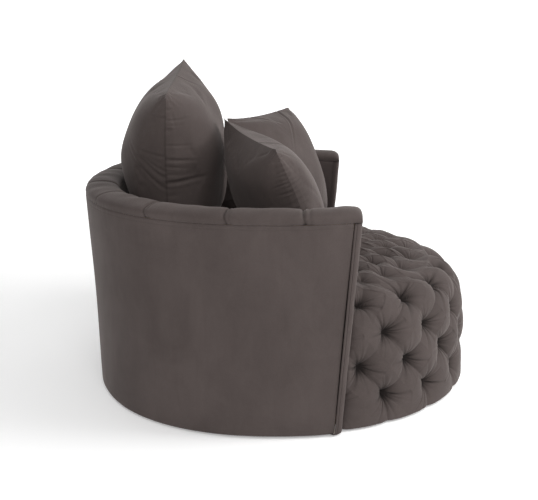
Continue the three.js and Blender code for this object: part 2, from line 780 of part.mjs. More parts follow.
// Pillows
function pillow(width, height, halfThickness) {
  const cells = 12;
  const waves = steps(cells, -1, 1).map((s) => Math.sin((s * Math.PI) / 2));
  const points = [];
  const faces = [];
  const index = new Map();
  const pointAt = (i, j, side) => {
    const edge = i === 0 || j === 0 || i === cells || j === cells;
    const key = `${i} ${j} ${edge ? 0 : side}`;
    if (!index.has(key)) {
      const [u, v] = [waves[i], waves[j]];
      const x = (width / 2) * u * (1 - pillowPinchShare * (1 - v * v));
      const z = (height / 2) * v * (1 - pillowPinchShare * (1 - u * u));
      const across = (1 - Math.abs(u) ** pillowFlatness) * (1 - Math.abs(v) ** pillowFlatness);
      const y = edge ? 0 : side * halfThickness * across ** pillowCrownPower;
      index.set(key, points.push(new THREE.Vector3(x, y, z)) - 1);
    }
    return index.get(key);
  };
  for (const side of [-1, 1]) {
    for (let i = 0; i < cells; i += 1) {
      for (let j = 0; j < cells; j += 1) {
        const cell = [[i, j], [i + 1, j], [i + 1, j + 1], [i, j + 1]];
        const [a, b, c, d] = cell.map(([p, q]) => pointAt(p, q, side));
        const rising = (i < cells / 2) === (j < cells / 2);
        const pair = rising ? [[a, b, c], [a, c, d]] : [[a, b, d], [b, c, d]];
        faces.push(...pair.map(([p, q, r]) => (side < 0 ? [p, q, r] : [p, r, q])));
      }
    }
  }
  return toGeometry(points, faces);
}

function addPillows() {
  const backShape = pillow(backPillowWidth, backPillowHeight, backPillowHalfThickness);
  const back = addMesh('pillow_back', backShape, materials.velvet);
  back.rotation.set(0, -backPillowTilt, 0);
  const reach = backPillowWidth * Math.sin(backPillowTilt) + backPillowHeight * Math.cos(backPillowTilt);
  back.position.set(0, seatBackDepth - backPillowInset, backPillowTop - reach / 2);

  const frontShape = pillow(frontPillowWidth, frontPillowHeight, frontPillowHalfThickness);
  const place = (name, x, y, lift, turn, roll) => {
    const front = addMesh(name, frontShape, materials.velvet);
    front.rotation.order = 'ZXY';
    front.rotation.set(-frontPillowLean, roll, turn);
    front.position.set(x, y, seatCrownHeight + lift);
  };
  place('pillow_right', -frontPillowX, rightPillowY, rightPillowLift, rightPillowTurn, -rightPillowRoll);
  place('pillow_left', frontPillowX, leftPillowY, leftPillowLift, -leftPillowTurn, 0);
}

addSwivelBase();
addBoards();
addShell();
addSeatFrame();
addMesh('seat_side_pad', sidePad(), materials.velvet);
addMesh('seat_top_pad', topPad(), materials.velvet);
addPillows();

export default chair;
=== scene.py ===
import math

import bmesh
import bpy
import numpy as np
from mathutils import Matrix, Vector


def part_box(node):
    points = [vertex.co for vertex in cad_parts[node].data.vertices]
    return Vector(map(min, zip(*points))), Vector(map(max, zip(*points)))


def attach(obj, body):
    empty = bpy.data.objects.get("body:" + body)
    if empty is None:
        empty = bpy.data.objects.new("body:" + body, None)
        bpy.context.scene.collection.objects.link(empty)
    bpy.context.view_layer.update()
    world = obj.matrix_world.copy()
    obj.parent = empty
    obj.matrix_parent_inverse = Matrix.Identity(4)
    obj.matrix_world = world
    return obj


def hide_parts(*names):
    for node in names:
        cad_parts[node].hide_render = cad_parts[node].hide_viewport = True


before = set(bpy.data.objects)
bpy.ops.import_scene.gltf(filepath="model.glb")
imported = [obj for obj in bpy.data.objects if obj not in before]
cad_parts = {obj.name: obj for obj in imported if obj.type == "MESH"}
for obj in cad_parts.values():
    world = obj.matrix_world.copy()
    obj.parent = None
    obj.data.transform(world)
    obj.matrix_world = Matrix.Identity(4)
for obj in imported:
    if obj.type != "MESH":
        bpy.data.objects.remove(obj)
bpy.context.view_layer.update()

# Sizes of the shell in metres, the same as the solid's own: a flared tub with a rolled rim on its seam
SEAM_Z = 0.560
SHELL_BOTTOM = 0.005
SHELL_A = 0.553
SHELL_B = 0.526
FLARE = 0.020
CENTRE_Y = 0.015
POWER = 2.2
SHELL_THICK = 0.0964
SHELL_ARC = 2.36
TIP_LOW = 0.165
TIP_HIGH = 0.203
TIP_SETBACK = 0.0183
ROLL_RISE = 0.032
COVER_TOP = SEAM_Z - 0.0003

# Sizes of the drum seat, its crown and its rows and columns of tufts
DRUM_A = 0.538
DRUM_B = 0.561
DRUM_MEAN = 0.55
CROWN = 0.385
RISE_POWER = 7.4
PLAN_POWER = 3.3
TOP_SHARE = 0.80
TOP_A = 0.450
SEAT_BACK = 0.448
WALL_TOP = 0.345
COLUMNS = 22
COLUMN = math.pi / COLUMNS
LOW_TUFT = 0.073
ROW = 0.088
TOP_ROW = 0.078
LOWEST_ROW = -0.9
LAST_SIDE_ROW = 3
FIRST_TOP_ROW = 4
LAST_TUFT_ROW = 6
CENTRE_ROW = 9.26
FIRST_TOP_SHARE = 0.889
TOP_ROW_SHARE = 0.167


# Mesh helpers
def mesh_object(name, points, faces):
    """faces is an (n, 4) or (n, 3) array of vertex numbers."""
    mesh = bpy.data.meshes.new(name)
    n, k = faces.shape
    mesh.vertices.add(len(points))
    mesh.vertices.foreach_set("co", np.asarray(points, np.float32).ravel())
    mesh.loops.add(n * k)
    mesh.loops.foreach_set("vertex_index", faces.astype(np.int32).ravel())
    mesh.polygons.add(n)
    mesh.polygons.foreach_set("loop_start", np.arange(0, n * k, k, dtype=np.int32))
    mesh.update(calc_edges=True)
    mesh.validate()
    mesh.polygons.foreach_set("use_smooth", np.ones(len(mesh.polygons), bool))
    obj = bpy.data.objects.new(name, mesh)
    bpy.context.scene.collection.objects.link(obj)
    return obj


def grid_faces(rows, cols, wrap=False):
    r = np.arange(rows - 1)[:, None]
    c = np.arange(cols if wrap else cols - 1)[None, :]
    a = r * cols + c
    b = r * cols + (c + 1) % cols
    return np.stack([a, b, b + cols, a + cols], -1).reshape(-1, 4)


def grid_normals(p):
    """p is (rows, cols, 3); the normal is d(cols) x d(rows)."""
    n = np.cross(np.gradient(p, axis=1), np.gradient(p, axis=0))
    return n / np.maximum(np.linalg.norm(n, axis=-1, keepdims=True), 1e-12)


def points_of(mesh):
    co = np.empty(len(mesh.vertices) * 3, np.float32)
    mesh.vertices.foreach_get("co", co)
    return co.reshape(-1, 3)


def set_painted_shade(obj, values):
    """How deep in a crease each point lies, from 0 to 1, for the velvet to darken it as painted shade."""
    layer = obj.data.attributes.new("fold", "FLOAT", "POINT")
    layer.data.foreach_set("value", np.asarray(values, np.float32).ravel())


def grid_piece(name, points, fold, turn=1):
    """A grid of points as one piece, facing the other way where turn is -1."""
    obj = mesh_object(name, points.reshape(-1, 3), grid_faces(*points.shape[:2])[:, ::turn])
    set_painted_shade(obj, fold)
    return obj


def add_cap(obj, triangles):
    bm = bmesh.new()
    bm.from_mesh(obj.data)
    bm.verts.ensure_lookup_table()
    for triangle in triangles:
        face = bm.faces.new([bm.verts[int(i)] for i in triangle])
        face.smooth = True
    bm.to_mesh(obj.data)
    bm.free()


def remove_loose(obj):
    bm = bmesh.new()
    bm.from_mesh(obj.data)
    bmesh.ops.delete(bm, geom=[v for v in bm.verts if not v.link_faces], context="VERTS")
    bm.to_mesh(obj.data)
    bm.free()


def smoothstep(x, low, high):
    t = np.clip((x - low) / (high - low), 0, 1)
    return t * t * (3 - 2 * t)


def bell(x, width, power=2):
    return np.exp(-np.abs(x / width) ** power)


class Waves:
    """A smooth seeded noise: a sum of plane waves, about 1 at most."""

    def __init__(self, seed, wavelength, count=10, dims=3):
        r = np.random.default_rng(seed)
        d = r.normal(size=(count, dims))
        d /= np.linalg.norm(d, axis=1, keepdims=True)
        self.k = d * (2 * math.pi / wavelength) * r.uniform(0.6, 1.6, (count, 1))
        self.p = r.uniform(0, 2 * math.pi, count)

    def __call__(self, x):
        return np.sin(x @ self.k.T + self.p).sum(-1) / math.sqrt(2.0 * len(self.p))


def dress(piece, material, slot, body, *nodes):
    """Gives a piece its material, the nodes it stands for and the body it rides on; slot is not used."""
    piece.data.materials.append(material)
    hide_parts(*nodes)
    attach(piece, body)


# The shell's plan
def plan_radius(angle, a, b, power):
    """How far a rounded plan with half axes a and b reaches at a polar angle."""
    s = (np.abs(np.sin(angle)) / np.maximum(a, 1e-6)) ** power
    c = (np.abs(np.cos(angle)) / np.maximum(b, 1e-6)) ** power
    return (s + c) ** (-1 / power)


def tip_y(z):
    return -(TIP_LOW + (TIP_HIGH - TIP_LOW) * z / SEAM_Z)


def shell_axes(z, inset):
    flare = FLARE * z / SEAM_Z
    return SHELL_A + flare - inset, SHELL_B + flare - inset


def shell_end(z, inset, setback):
    """The polar angle at which the shell ends at its arm tip, or setback behind it."""
    a, b = shell_axes(z, inset)
    y = tip_y(z) + setback - CENTRE_Y
    x = a * (1 - (np.abs(y) / b) ** POWER) ** (1 / POWER)
    return np.arctan2(x, y)


def shell_at(angle, z, inset):
    """A point of the shell's plan at a polar angle about its centre: 0 at the back, + to +X."""
    r = plan_radius(angle, *shell_axes(z, inset), POWER)
    angle, z, r = np.broadcast_arrays(angle, z, r)
    return np.stack([r * np.sin(angle), CENTRE_Y + r * np.cos(angle), z], -1)


# The seat's crown
def crown_share(z):
    return (1 - (np.maximum(z, 0) / CROWN) ** RISE_POWER) ** (1 / PLAN_POWER)


def crown_height(share):
    return CROWN * (1 - share ** PLAN_POWER) ** (1 / RISE_POWER)


def seat_profile():
    """Share of the drum's plan and height for each row number of the tufting."""
    side_rows = np.linspace(LOWEST_ROW, LAST_SIDE_ROW, 200)
    side_z = LOW_TUFT + ROW * side_rows
    side = np.stack([side_rows, crown_share(side_z), side_z], 1)
    arc_share = np.linspace(side[-1, 1], TOP_SHARE * FIRST_TOP_SHARE, 200)
    arc_z = crown_height(arc_share)
    step = np.hypot(np.diff(arc_share) * DRUM_MEAN, np.diff(arc_z))
    arc = np.concatenate([[0], np.cumsum(step)])
    bend = np.stack([LAST_SIDE_ROW + arc / arc[-1], arc_share, arc_z], 1)
    rows = np.linspace(FIRST_TOP_ROW, FIRST_TOP_ROW + FIRST_TOP_SHARE / TOP_ROW_SHARE, 300)
    from_first = (rows - FIRST_TOP_ROW) * TOP_ROW_SHARE
    shares = np.maximum(TOP_SHARE * (FIRST_TOP_SHARE - from_first), 0)
    top = np.stack([rows, shares, crown_height(shares)], 1)
    return np.concatenate([side, bend[1:], top[1:]])


PROFILE = seat_profile()


def seat_at(angle, row):
    """A point of the seat's smooth crown. The angle is 0 at the front and + to +X."""
    share = np.interp(row, PROFILE[:, 0], PROFILE[:, 1])
    z = np.interp(row, PROFILE[:, 0], PROFILE[:, 2])
    onto_top = smoothstep(row, 2.5, 3.3)
    a = share * (DRUM_A + onto_top * (TOP_A / TOP_SHARE - DRUM_A))
    ahead = np.cos(angle) > 0
    b = np.where(ahead, share * DRUM_B, share / TOP_SHARE * SEAT_BACK)
    r = plan_radius(angle, a, b, np.where(ahead, 2.0, POWER))
    return np.stack([r * np.sin(angle), -r * np.cos(angle), z], -1)


def nearest_tuft(column, held, last_row):
    """Tufts lie where column and row are whole and their sum is odd, from row 0 to last_row."""
    near_c, near_r = np.round(column), np.round(held)
    odd = (near_c + near_r) % 2 == 1
    dc, dr = column - near_c, held - near_r
    sideways = np.abs(dc) > np.abs(dr)
    sideways |= (near_r + np.sign(dr) < 0) | (near_r + np.sign(dr) > last_row) | (dr == 0)
    step_c = np.where(odd | ~sideways, 0, np.where(dc >= 0, 1, -1))
    step_r = np.where(odd | sideways, 0, np.sign(dr))
    return near_c + step_c, near_r + step_r


# Of the gathers round a tuft: how many, how far they run in metres and how strong they are
GATHERS = ((10, 0.030, 1.0), (16, 0.021, 0.9), (6, 0.045, 0.6))
GATHER_WIDTH = 0.40
TUFT_SHADE = 0.022
PLEAT_FADE = 0.050


def tufting(column, row, x_scale, y_scale, last_row, deep, pleat, seed, gather, funnel,
            hem_pleat=0.004, jitter=1.0):
    """Depth below the crown of diamond tufting and of the gathers round its tufts, and how near a
    tuft is. x_scale and y_scale are metres per column and per row, deep and pleat the depth of a tuft
    and of a pleat, funnel a tuft's width and hem_pleat the depth of the pleats beyond the last tufts."""
    place = np.stack([column, row], -1)
    column = column + jitter * 0.06 * Waves(seed + 1, 5.0, dims=2)(place)
    row = row + jitter * 0.045 * Waves(seed + 2, 5.0, dims=2)(place)
    held = np.clip(row, 0, last_row)
    c, r = np.floor(column), np.floor(held)
    u = np.where((c + r) % 2 == 0, 1 - (column - c), column - c)
    v = held - r
    off = np.clip(np.abs(u - v), 0, 1)
    reach = np.clip(np.abs(u + v - 1), 0, 1)
    tuft_c, tuft_r = nearest_tuft(column, held, last_row)
    x = (column - tuft_c) * x_scale
    y = (row - tuft_r) * y_scale
    rho = np.hypot(x, y)
    phi = np.arctan2(y, x)
    key = np.sin(tuft_c * 12.9898 + tuft_r * 78.233) * 43758.5453
    key = key - np.floor(key)

    # pleats: round puffs that meet in a crease, straight pleats beyond the last tufts
    beyond = (np.clip(-row, 0, None) + np.clip(row - last_row, 0, None)) * y_scale
    vary = 1 + 0.38 * Waves(seed + 4, 2.1, dims=2)(place)
    line = pleat * vary * (0.80 + 0.45 * reach ** 2)
    near = 1 - off
    puff = 0.62 * (1 - (1 - near ** 2.2) ** 0.62) + 0.38 * near ** 2.0
    straight = np.clip(1 - 2.0 * off, 0, 1)
    straight = 1 - (1 - straight ** 1.8) ** 0.60
    turn = smoothstep(beyond, 0.0, PLEAT_FADE / 2)
    tail = hem_pleat + (pleat * 0.95 - hem_pleat) * np.exp(-beyond / PLEAT_FADE)
    depth = (1 - turn) * line * puff + turn * tail * vary * straight
    own_depth = deep * (0.90 + 0.20 * key) - pleat
    depth = depth + own_depth * bell(rho, funnel * (0.9 + 0.25 * key), 1.2)

    # gathers: narrow creases that run out from each tuft, of uneven length and spacing
    folds = np.zeros_like(rho)
    wobble = phi + 0.30 * np.sin(2 * phi + 9 * key) + 0.16 * np.sin(3 * phi + 23 * key)
    for count, length, weight in GATHERS:
        crease = bell(np.sin(count / 2 * wobble + 6.28 * key * (1 + count)), GATHER_WIDTH)
        run = length * (0.55 + 0.9 * (0.5 + 0.5 * np.sin(count * 0.6 * phi + 40 * key)))
        folds += weight * crease * np.exp(-rho / run)
    folds *= gather * smoothstep(rho, 0.002, 0.012)
    return depth, folds, bell(rho, TUFT_SHADE, 1.5)


# Materials
class Shader:
    """A new material, and short ways to add nodes to it."""

    def __init__(self, name):
        self.material = bpy.data.materials.new(name)
        self.material.use_nodes = True
        self.nodes = self.material.node_tree.nodes
        self.nodes.clear()
        self.surface = self.add("BsdfPrincipled")
        self.feed(self.add("OutputMaterial").inputs[0], self.surface.outputs[0])
        self.place = self.add("TexCoord").outputs["Object"]

    def feed(self, socket, value):
        """Links a socket, or sets a number or colour on it."""
        if isinstance(value, bpy.types.NodeSocket):
            self.material.node_tree.links.new(value, socket)
        elif socket.type == "RGBA":
            socket.default_value = (*value, 1)
        else:
            socket.default_value = value

    def add(self, kind, **values):
        node = self.nodes.new("ShaderNode" + kind)
        for name, value in values.items():
            self.feed(node.inputs[name], value)
        return node

    def set(self, name, value):
        self.feed(self.surface.inputs[name], value)

    def noise(self, scale, detail, roughness, distortion=0.0, stretch=None):
        place = self.place
        if stretch:
            place = self.add("Mapping", Vector=place, Scale=stretch).outputs[0]
        return self.add("TexNoise", Vector=place, Scale=scale, Detail=detail, Roughness=roughness,
                        Distortion=distortion).outputs["Fac"]

    def ramp(self, value, *stops):
        """Each stop is a position and a colour, or a number for a grey."""
        node = self.add("ValToRGB", Fac=value)
        elements = node.color_ramp.elements
        first, *middle, last = [(at, tone if isinstance(tone, tuple) else (tone,) * 3) for at, tone in stops]
        for element, (at, tone) in zip(elements, (first, last)):
            element.position = at
            element.color = (*tone, 1)
        for at, tone in middle:
            elements.new(at).color = (*tone, 1)
        return node.outputs[0]

    def mix(self, factor, a, b, blend="MIX"):
        node = self.add("Mix")
        node.data_type = "RGBA"
        node.blend_type = blend
        for index, value in ((0, factor), (6, a), (7, b)):
            self.feed(node.inputs[index], value)
        return node.outputs[2]

    def math(self, operation, a, b):
        node = self.add("Math")
        node.operation = operation
        self.feed(node.inputs[0], a)
        self.feed(node.inputs[1], b)
        return node.outputs[0]

    def bump(self, height, strength, distance, **normal):
        return self.add("Bump", Height=height, Strength=strength, Distance=distance, **normal).outputs[0]


PILE_DARK = (0.054, 0.0425, 0.0398)
PILE_LIGHT = (0.080, 0.0635, 0.0596)
SHEEN = (0.80, 0.72, 0.69)
PLY_DARK = (0.33, 0.21, 0.11)
PLY_LIGHT = (0.52, 0.37, 0.21)


def velvet(name, streak):
    """Short dense pile: soft brushed patches, fine pile grain, a pale sheen at grazing angles,
    painted shade in the creases and a little paler where there is no crease."""
    shader = Shader(name)
    patches = shader.noise(5.5, 4, 0.55, 0.6)
    brushed = shader.noise(26, 3, 0.6, 1.2, streak)
    grain = shader.noise(900, 2, 0.7)
    nap = shader.math("ADD", shader.math("MULTIPLY", patches, 0.74), shader.math("MULTIPLY", brushed, 0.26))
    colour = shader.ramp(nap, (0.25, PILE_DARK), (0.75, PILE_LIGHT))
    speck = shader.ramp(grain, (0.3, (0.80, 0.79, 0.78)), (0.7, 1.14))
    colour = shader.mix(1.0, colour, speck, "MULTIPLY")
    # Painted shade: the fold attribute darkens the colour in creases and along seams, and lifts it a little
    # elsewhere
    fold = shader.add("Attribute")
    fold.attribute_name = "fold"
    crease = shader.ramp(fold.outputs["Fac"], (0.0, 1.06), (0.25, 1.0), (0.6, (0.70, 0.69, 0.68)),
                         (1.0, (0.26, 0.25, 0.25)))
    shader.set("Base Color", shader.mix(1.0, colour, crease, "MULTIPLY"))
    shader.set("Roughness", shader.ramp(nap, (0.3, 0.86), (0.7, 0.72)))
    shader.set("Specular IOR Level", 0.2)
    shader.set("Sheen Weight", 0.14)
    shader.set("Sheen Roughness", 0.38)
    shader.set("Sheen Tint", SHEEN)
    pile = shader.bump(grain, 0.25, 0.0006)
    shader.set("Normal", shader.bump(brushed, 0.16, 0.0012, Normal=pile))
    return shader.material


def plywood(name):
    shader = Shader(name)
    grain = shader.noise(9, 6, 0.6, 1.5, (1, 9, 9))
    fine = shader.noise(120, 4, 0.6, 0.2, (1, 10, 10))
    layers = shader.add("TexWave", Vector=shader.place, Scale=75, Distortion=0.6, Detail=2)
    layers.bands_direction = "Z"
    colour = shader.ramp(grain, (0.35, PLY_DARK), (0.65, PLY_LIGHT))
    colour = shader.mix(0.35, colour, shader.ramp(fine, (0.4, PLY_DARK), (0.6, PLY_LIGHT)))
    edge = shader.ramp(layers.outputs["Fac"], (0.2, PLY_DARK), (0.8, PLY_LIGHT))
    shader.set("Base Color", shader.mix(0.22, colour, edge))
    shader.set("Roughness", shader.ramp(fine, (0.3, 0.62), (0.7, 0.82)))
    shader.set("Normal", shader.bump(fine, 0.3, 0.0008))
    return shader.material


def steel(name, tone):
    shader = Shader(name)
    spangle = shader.add("TexVoronoi", Vector=shader.place, Scale=90)
    scratches = shader.noise(60, 5, 0.7, 0.4, (1, 14, 1))
    stains = shader.noise(12, 5, 0.6, 0.8)
    colour = shader.ramp(stains, (0.35, tuple(v * 0.72 for v in tone)), (0.65, tone))
    shader.set("Base Color", shader.mix(0.12, colour, spangle.outputs["Color"], "SOFT_LIGHT"))
    shader.set("Metallic", 1.0)
    shader.set("Roughness", shader.ramp(scratches, (0.3, 0.28), (0.7, 0.48)))
    shader.set("Normal", shader.bump(scratches, 0.12, 0.0003))
    return shader.material


def moulded(name, tone):
    shader = Shader(name)
    grain = shader.noise(700, 3, 0.6)
    scuffs = shader.noise(40, 4, 0.7, 0.8)
    shader.set("Base Color", shader.ramp(scuffs, (0.4, tone), (0.75, tuple(v * 2.2 for v in tone))))
    shader.set("Roughness", shader.ramp(scuffs, (0.3, 0.42), (0.7, 0.6)))
    shader.set("Normal", shader.bump(grain, 0.2, 0.0003))
    return shader.material


def woven(name, dark, light, threads, thread_bump):
    shader = Shader(name)
    weave = []
    for direction in ("X", "Y"):
        wave = shader.add("TexWave", Vector=shader.place, Scale=threads / 6.28, Distortion=0.4, Detail=1)
        wave.bands_direction = direction
        weave.append(wave.outputs["Fac"])
    cross = shader.math("MULTIPLY", *weave)
    patches = shader.noise(18, 4, 0.6)
    worn = shader.ramp(patches, (0.3, 0.85), (0.7, 1.1))
    shader.set("Base Color", shader.mix(1.0, shader.mix(cross, dark, light), worn, "MULTIPLY"))
    shader.set("Roughness", shader.ramp(patches, (0.3, 0.8), (0.7, 0.92)))
    shader.set("Sheen Weight", 0.2)
    shader.set("Normal", shader.bump(cross, 0.4, thread_bump))
    return shader.material


def foam_material(name):
    shader = Shader(name)
    cells = shader.add("TexVoronoi", Vector=shader.place, Scale=420).outputs["Distance"]
    tone = shader.noise(6, 4, 0.6)
    colour = shader.ramp(tone, (0.3, (0.62, 0.56, 0.40)), (0.7, (0.74, 0.70, 0.56)))
    pores = shader.ramp(cells, (0.0, (0.4, 0.35, 0.24)), (0.5, (0.8, 0.76, 0.62)))
    shader.set("Base Color", shader.mix(0.35, colour, pores))
    shader.set("Roughness", shader.ramp(tone, (0.3, 0.88), (0.7, 0.96)))
    shader.set("Normal", shader.bump(cells, 0.5, 0.001))
    return shader.material


VELVET_SHELL = velvet("velvet_shell", (1, 1, 0.3))
VELVET_SEAT = velvet("velvet_seat", (1, 0.5, 1))
VELVET_PILLOW = velvet("velvet_pillow", (1, 1, 0.6))

# The camera, where the photograph was taken from
CAMERA_PLACE = Vector((-2.5758, -0.018, 1.0163))
camera_data = bpy.data.cameras.new("camera")
camera_data.sensor_width = 36.0
camera_data.lens = 58.42
camera_data.clip_start = 0.05
camera_data.clip_end = 60
camera = bpy.data.objects.new("camera", camera_data)
bpy.context.scene.collection.objects.link(camera)
forward = Vector((0.9684, 0.0183, -0.2489)).normalized()
right = Vector((0.0189, -0.9998, 0)).normalized()
turned = Matrix((right, right.cross(forward), -forward)).transposed()
camera.matrix_world = Matrix.Translation(CAMERA_PLACE) @ turned.to_4x4()
bpy.context.scene.camera = camera

# The seat cover. Its hem turns in over rings, each given as how far inward and how high it lies
HEM_Z = 0.0115
HEM_ROW = (HEM_Z - LOW_TUFT) / ROW
HEM_TURN = ((0.030, 0.014), (0.014, 0.0060), (0.006, 0.0050), (0.0022, 0.0064), (0.0006, 0.0090))
TUCK_ROW = 3.35
TUCK_Z = 0.62 * SEAM_Z
LEAST_END_SHARE = 0.86
FLAT_ROW = 9.0
TIP_GAP = 0.0006
TUFT_DEEP = 0.043
TUFT_SHALLOWER = 0.017
SEAT_PLEAT = 0.0130
SEAT_GATHER = 0.0056
SEAT_FUNNEL = 0.022
EDGE_ROLL = 0.013
EDGE_REACH = 0.66
SHADED_DEPTH = 0.041
WALL_FROM = 0.098
WALL_FULL = 0.112
WALL_COVER = 0.003
WALL_BLEND = 0.002
ARM_GAP = 0.0035

# For the tuft rows at the shoulder: how many columns beside its own place a tuft stands, by column
TUFT_DRIFT = (
    (3, (-12, -9, -8, -6, -4, -2, 2, 6), (0, 0.15, 0.19, 0.37, 0.64, 0.85, 0.4, 0)),
    (4, (-12, -7, -5, -3, -1, 3, 7), (0, 0.2, -0.35, -0.8, -0.6, -0.1, 0)),
)


def tuft_drift(column, row):
    return sum(bell(row - at, 0.6) * np.interp(column, columns, shifts) for at, columns, shifts in TUFT_DRIFT)


def above_front_wall(points, rows):
    """Over the front wall of the frame the pits end above the plywood."""
    inside = DRUM_A * (1 - np.hypot(points[..., 0] / DRUM_A, points[..., 1] / DRUM_B))
    over_wall = smoothstep(inside, WALL_FROM, WALL_FULL) * (rows > TUCK_ROW)
    lowest = WALL_TOP + WALL_COVER
    lifted = lowest + WALL_BLEND * np.logaddexp(0, (points[..., 2] - lowest) / WALL_BLEND)
    points[..., 2] += (lifted - points[..., 2]) * over_wall


def between_arms(points):
    """Behind the arm tips the cover stays between the arms."""
    x, y, z = points[..., 0], points[..., 1], points[..., 2]
    behind = y > tip_y(z) + 0.002
    a, b = shell_axes(z, SHELL_THICK + ARM_GAP)
    reach = ((np.abs(x) / a) ** POWER + (np.abs(y - CENTRE_Y) / b) ** POWER) ** (1 / POWER)
    shrink = np.where(behind & (reach > 1), 1 / reach, 1.0)
    points[..., 0] *= shrink
    points[..., 1] = np.where((y < CENTRE_Y) & behind, y, CENTRE_Y + (y - CENTRE_Y) * shrink)


def seat_cover():
    """One tufted cover: up the drum's side between the arm tips, over its shoulder and across the top,
    tucked down between seat and arms behind them."""
    front = np.linspace(-1, 1, 690)
    rear = np.linspace(1, 2, 190)[1:]
    u = np.concatenate([-rear[::-1], front, rear])[:-1]
    rows = np.concatenate([np.full(len(HEM_TURN), HEM_ROW), np.linspace(HEM_ROW, 3.0, 170),
                           np.linspace(3.0, 6.3, 225)[1:], np.linspace(6.3, CENTRE_ROW, 60)[1:]])
    U, V = np.meshgrid(u, rows)
    share = np.maximum(np.interp(V, PROFILE[:, 0], PROFILE[:, 1]), LEAST_END_SHARE)
    z_end = np.minimum(np.interp(V, PROFILE[:, 0], PROFILE[:, 2]), TUCK_Z)
    tip = -tip_y(z_end) + TIP_GAP
    end = np.arctan2(DRUM_A * np.sqrt(1 - (tip / (share * DRUM_B)) ** 2) * share, tip)
    beyond = np.clip(np.abs(U) - 1, 0, 1)
    A = np.sign(U) * (np.minimum(np.abs(U), 1) * end + beyond * (math.pi - end))
    base = seat_at(A, V)
    normal = grid_normals(base)
    normal *= -np.sign(normal[60, len(u) // 2, 1])
    x_scale = np.maximum(np.linalg.norm(base[..., :2], axis=-1) * COLUMN, 0.004)
    y_scale = np.where(V < 3.5, ROW, TOP_ROW)
    column = A / COLUMN - tuft_drift(A / COLUMN, V)
    on_top = smoothstep(V, 3.2, 4.2)
    deep = TUFT_DEEP - TUFT_SHALLOWER * on_top
    pleat = SEAT_PLEAT - 0.0040 * on_top
    gather = SEAT_GATHER - 0.0020 * on_top
    depth, folds, near = tufting(column, V, x_scale, y_scale, LAST_TUFT_ROW, deep, pleat, 11, gather,
                                 SEAT_FUNNEL, jitter=0.8)
    towards_centre = smoothstep(FLAT_ROW - V, 0.0, 2.8)
    depth = depth * towards_centre
    folds = folds * towards_centre
    side = smoothstep(V, TUCK_ROW + 0.25, TUCK_ROW - 0.2)
    edge = np.clip((1 - np.abs(U)) * EDGE_REACH, 0, None)
    rolled = np.where(np.abs(U) <= 1, EDGE_ROLL * np.exp(-edge / 0.007), EDGE_ROLL) * side
    sunk = (depth + folds) * (1 - 0.5 * np.exp(-edge / 0.010) * side) + rolled
    points = base - normal * sunk[..., None]
    first = len(HEM_TURN)
    for i, (inward, height) in enumerate(HEM_TURN):
        points[i] = points[first] - normal[first] * inward
        points[i, :, 2] = height
    above_front_wall(points, V)
    between_arms(points)

    faces = grid_faces(len(rows), len(u), wrap=True)
    row_of, col_of = faces[:, 0] // len(u), faces[:, 0] % len(u)
    across = np.abs(u)
    outside = np.maximum(across[col_of], across[(col_of + 1) % len(u)]) > 1.0001
    faces = faces[~(outside & (rows[row_of] < TUCK_ROW - 0.2))]
    flat = np.concatenate([points.reshape(-1, 3), [points[-1].mean(0)]])
    last = (len(rows) - 1) * len(u)
    ring = np.arange(len(u))
    obj = mesh_object("seat_cover", flat, faces)
    add_cap(obj, np.stack([last + ring, last + (ring + 1) % len(u), np.full(len(u), len(flat) - 1)], 1))
    # Painted shade, deepest in the tufts and along the gathers round them
    fold = np.clip((0.55 + 0.6 * near) * depth / SHADED_DEPTH + 0.25 * folds / 0.002, 0, 1)
    set_painted_shade(obj, np.concatenate([fold.ravel(), [0.0]]))
    remove_loose(obj)
    return obj


seat = seat_cover()
dress(seat, VELVET_SEAT, "velvet", "chair", "seat_side_pad", "seat_top_pad")

# The shell's covers
HEM_INSETS = np.array([[0.022], [0.010], [0.0045], [0.0012]])
END_INSETS = np.array([0.0030, 0.0006])
STITCH_Z = 0.5485
STITCH_WIDTH = 0.0012
STITCH_DEEP = 0.0006
PANEL_HOLLOW = 0.0030
PANEL_PUCKER = 0.0009
PUCKER_REACH = 0.016


def outer_cover():
    """The smooth outside panel, a little slack, puckered along the seam under the rim."""
    ts = np.concatenate([[-1, -0.9985], np.linspace(-0.996, 0.996, 420), [0.9985, 1]])
    zs = np.concatenate([SHELL_BOTTOM + np.array([0, 0, 0.0006, 0.0022, 0.005]),
                         np.linspace(SHELL_BOTTOM + 0.009, 0.532, 100), np.linspace(0.534, COVER_TOP, 22)])
    T, Z = np.meshgrid(ts, zs)
    arc = T * SHELL_ARC / 2
    place = np.stack([arc, Z * 0.35, 0 * T], -1)
    inset = 0.0015 + 0.0011 * Waves(21, 0.34)(place) + 0.0004 * Waves(22, 0.09)(place)
    inset += PANEL_HOLLOW * np.sin(math.pi * np.clip(Z / SEAM_Z, 0, 1)) ** 2
    pucker = np.random.default_rng(5).uniform(-1, 1, 400)
    gathers = np.sin(arc * 330 + 2.0 * np.sin(arc * 41))
    gathers *= np.interp(arc % 1.9, np.linspace(0, 1.9, 400), pucker)
    inset += PANEL_PUCKER * gathers * np.exp(-(SEAM_Z - Z) / PUCKER_REACH)
    stitches = bell(Z - STITCH_Z, STITCH_WIDTH)
    inset += STITCH_DEEP * stitches
    inset += 0.0018 * np.exp(-(COVER_TOP - Z) / 0.0025)
    inset[:len(HEM_INSETS)] += HEM_INSETS
    inset[:, :2] += END_INSETS
    inset[:, -2:] += END_INSETS[::-1]
    points = shell_at(T * shell_end(Z, 0.0, TIP_SETBACK), Z, inset)
    # Painted shade along the seam under the rim and on the stitch line
    return grid_piece("outer_cover", points, 0.40 * np.exp(-(COVER_TOP - Z) / 0.003) + 0.22 * stitches)


ARM_CORNER = 0.0095
ARM_CROWN = 0.0035
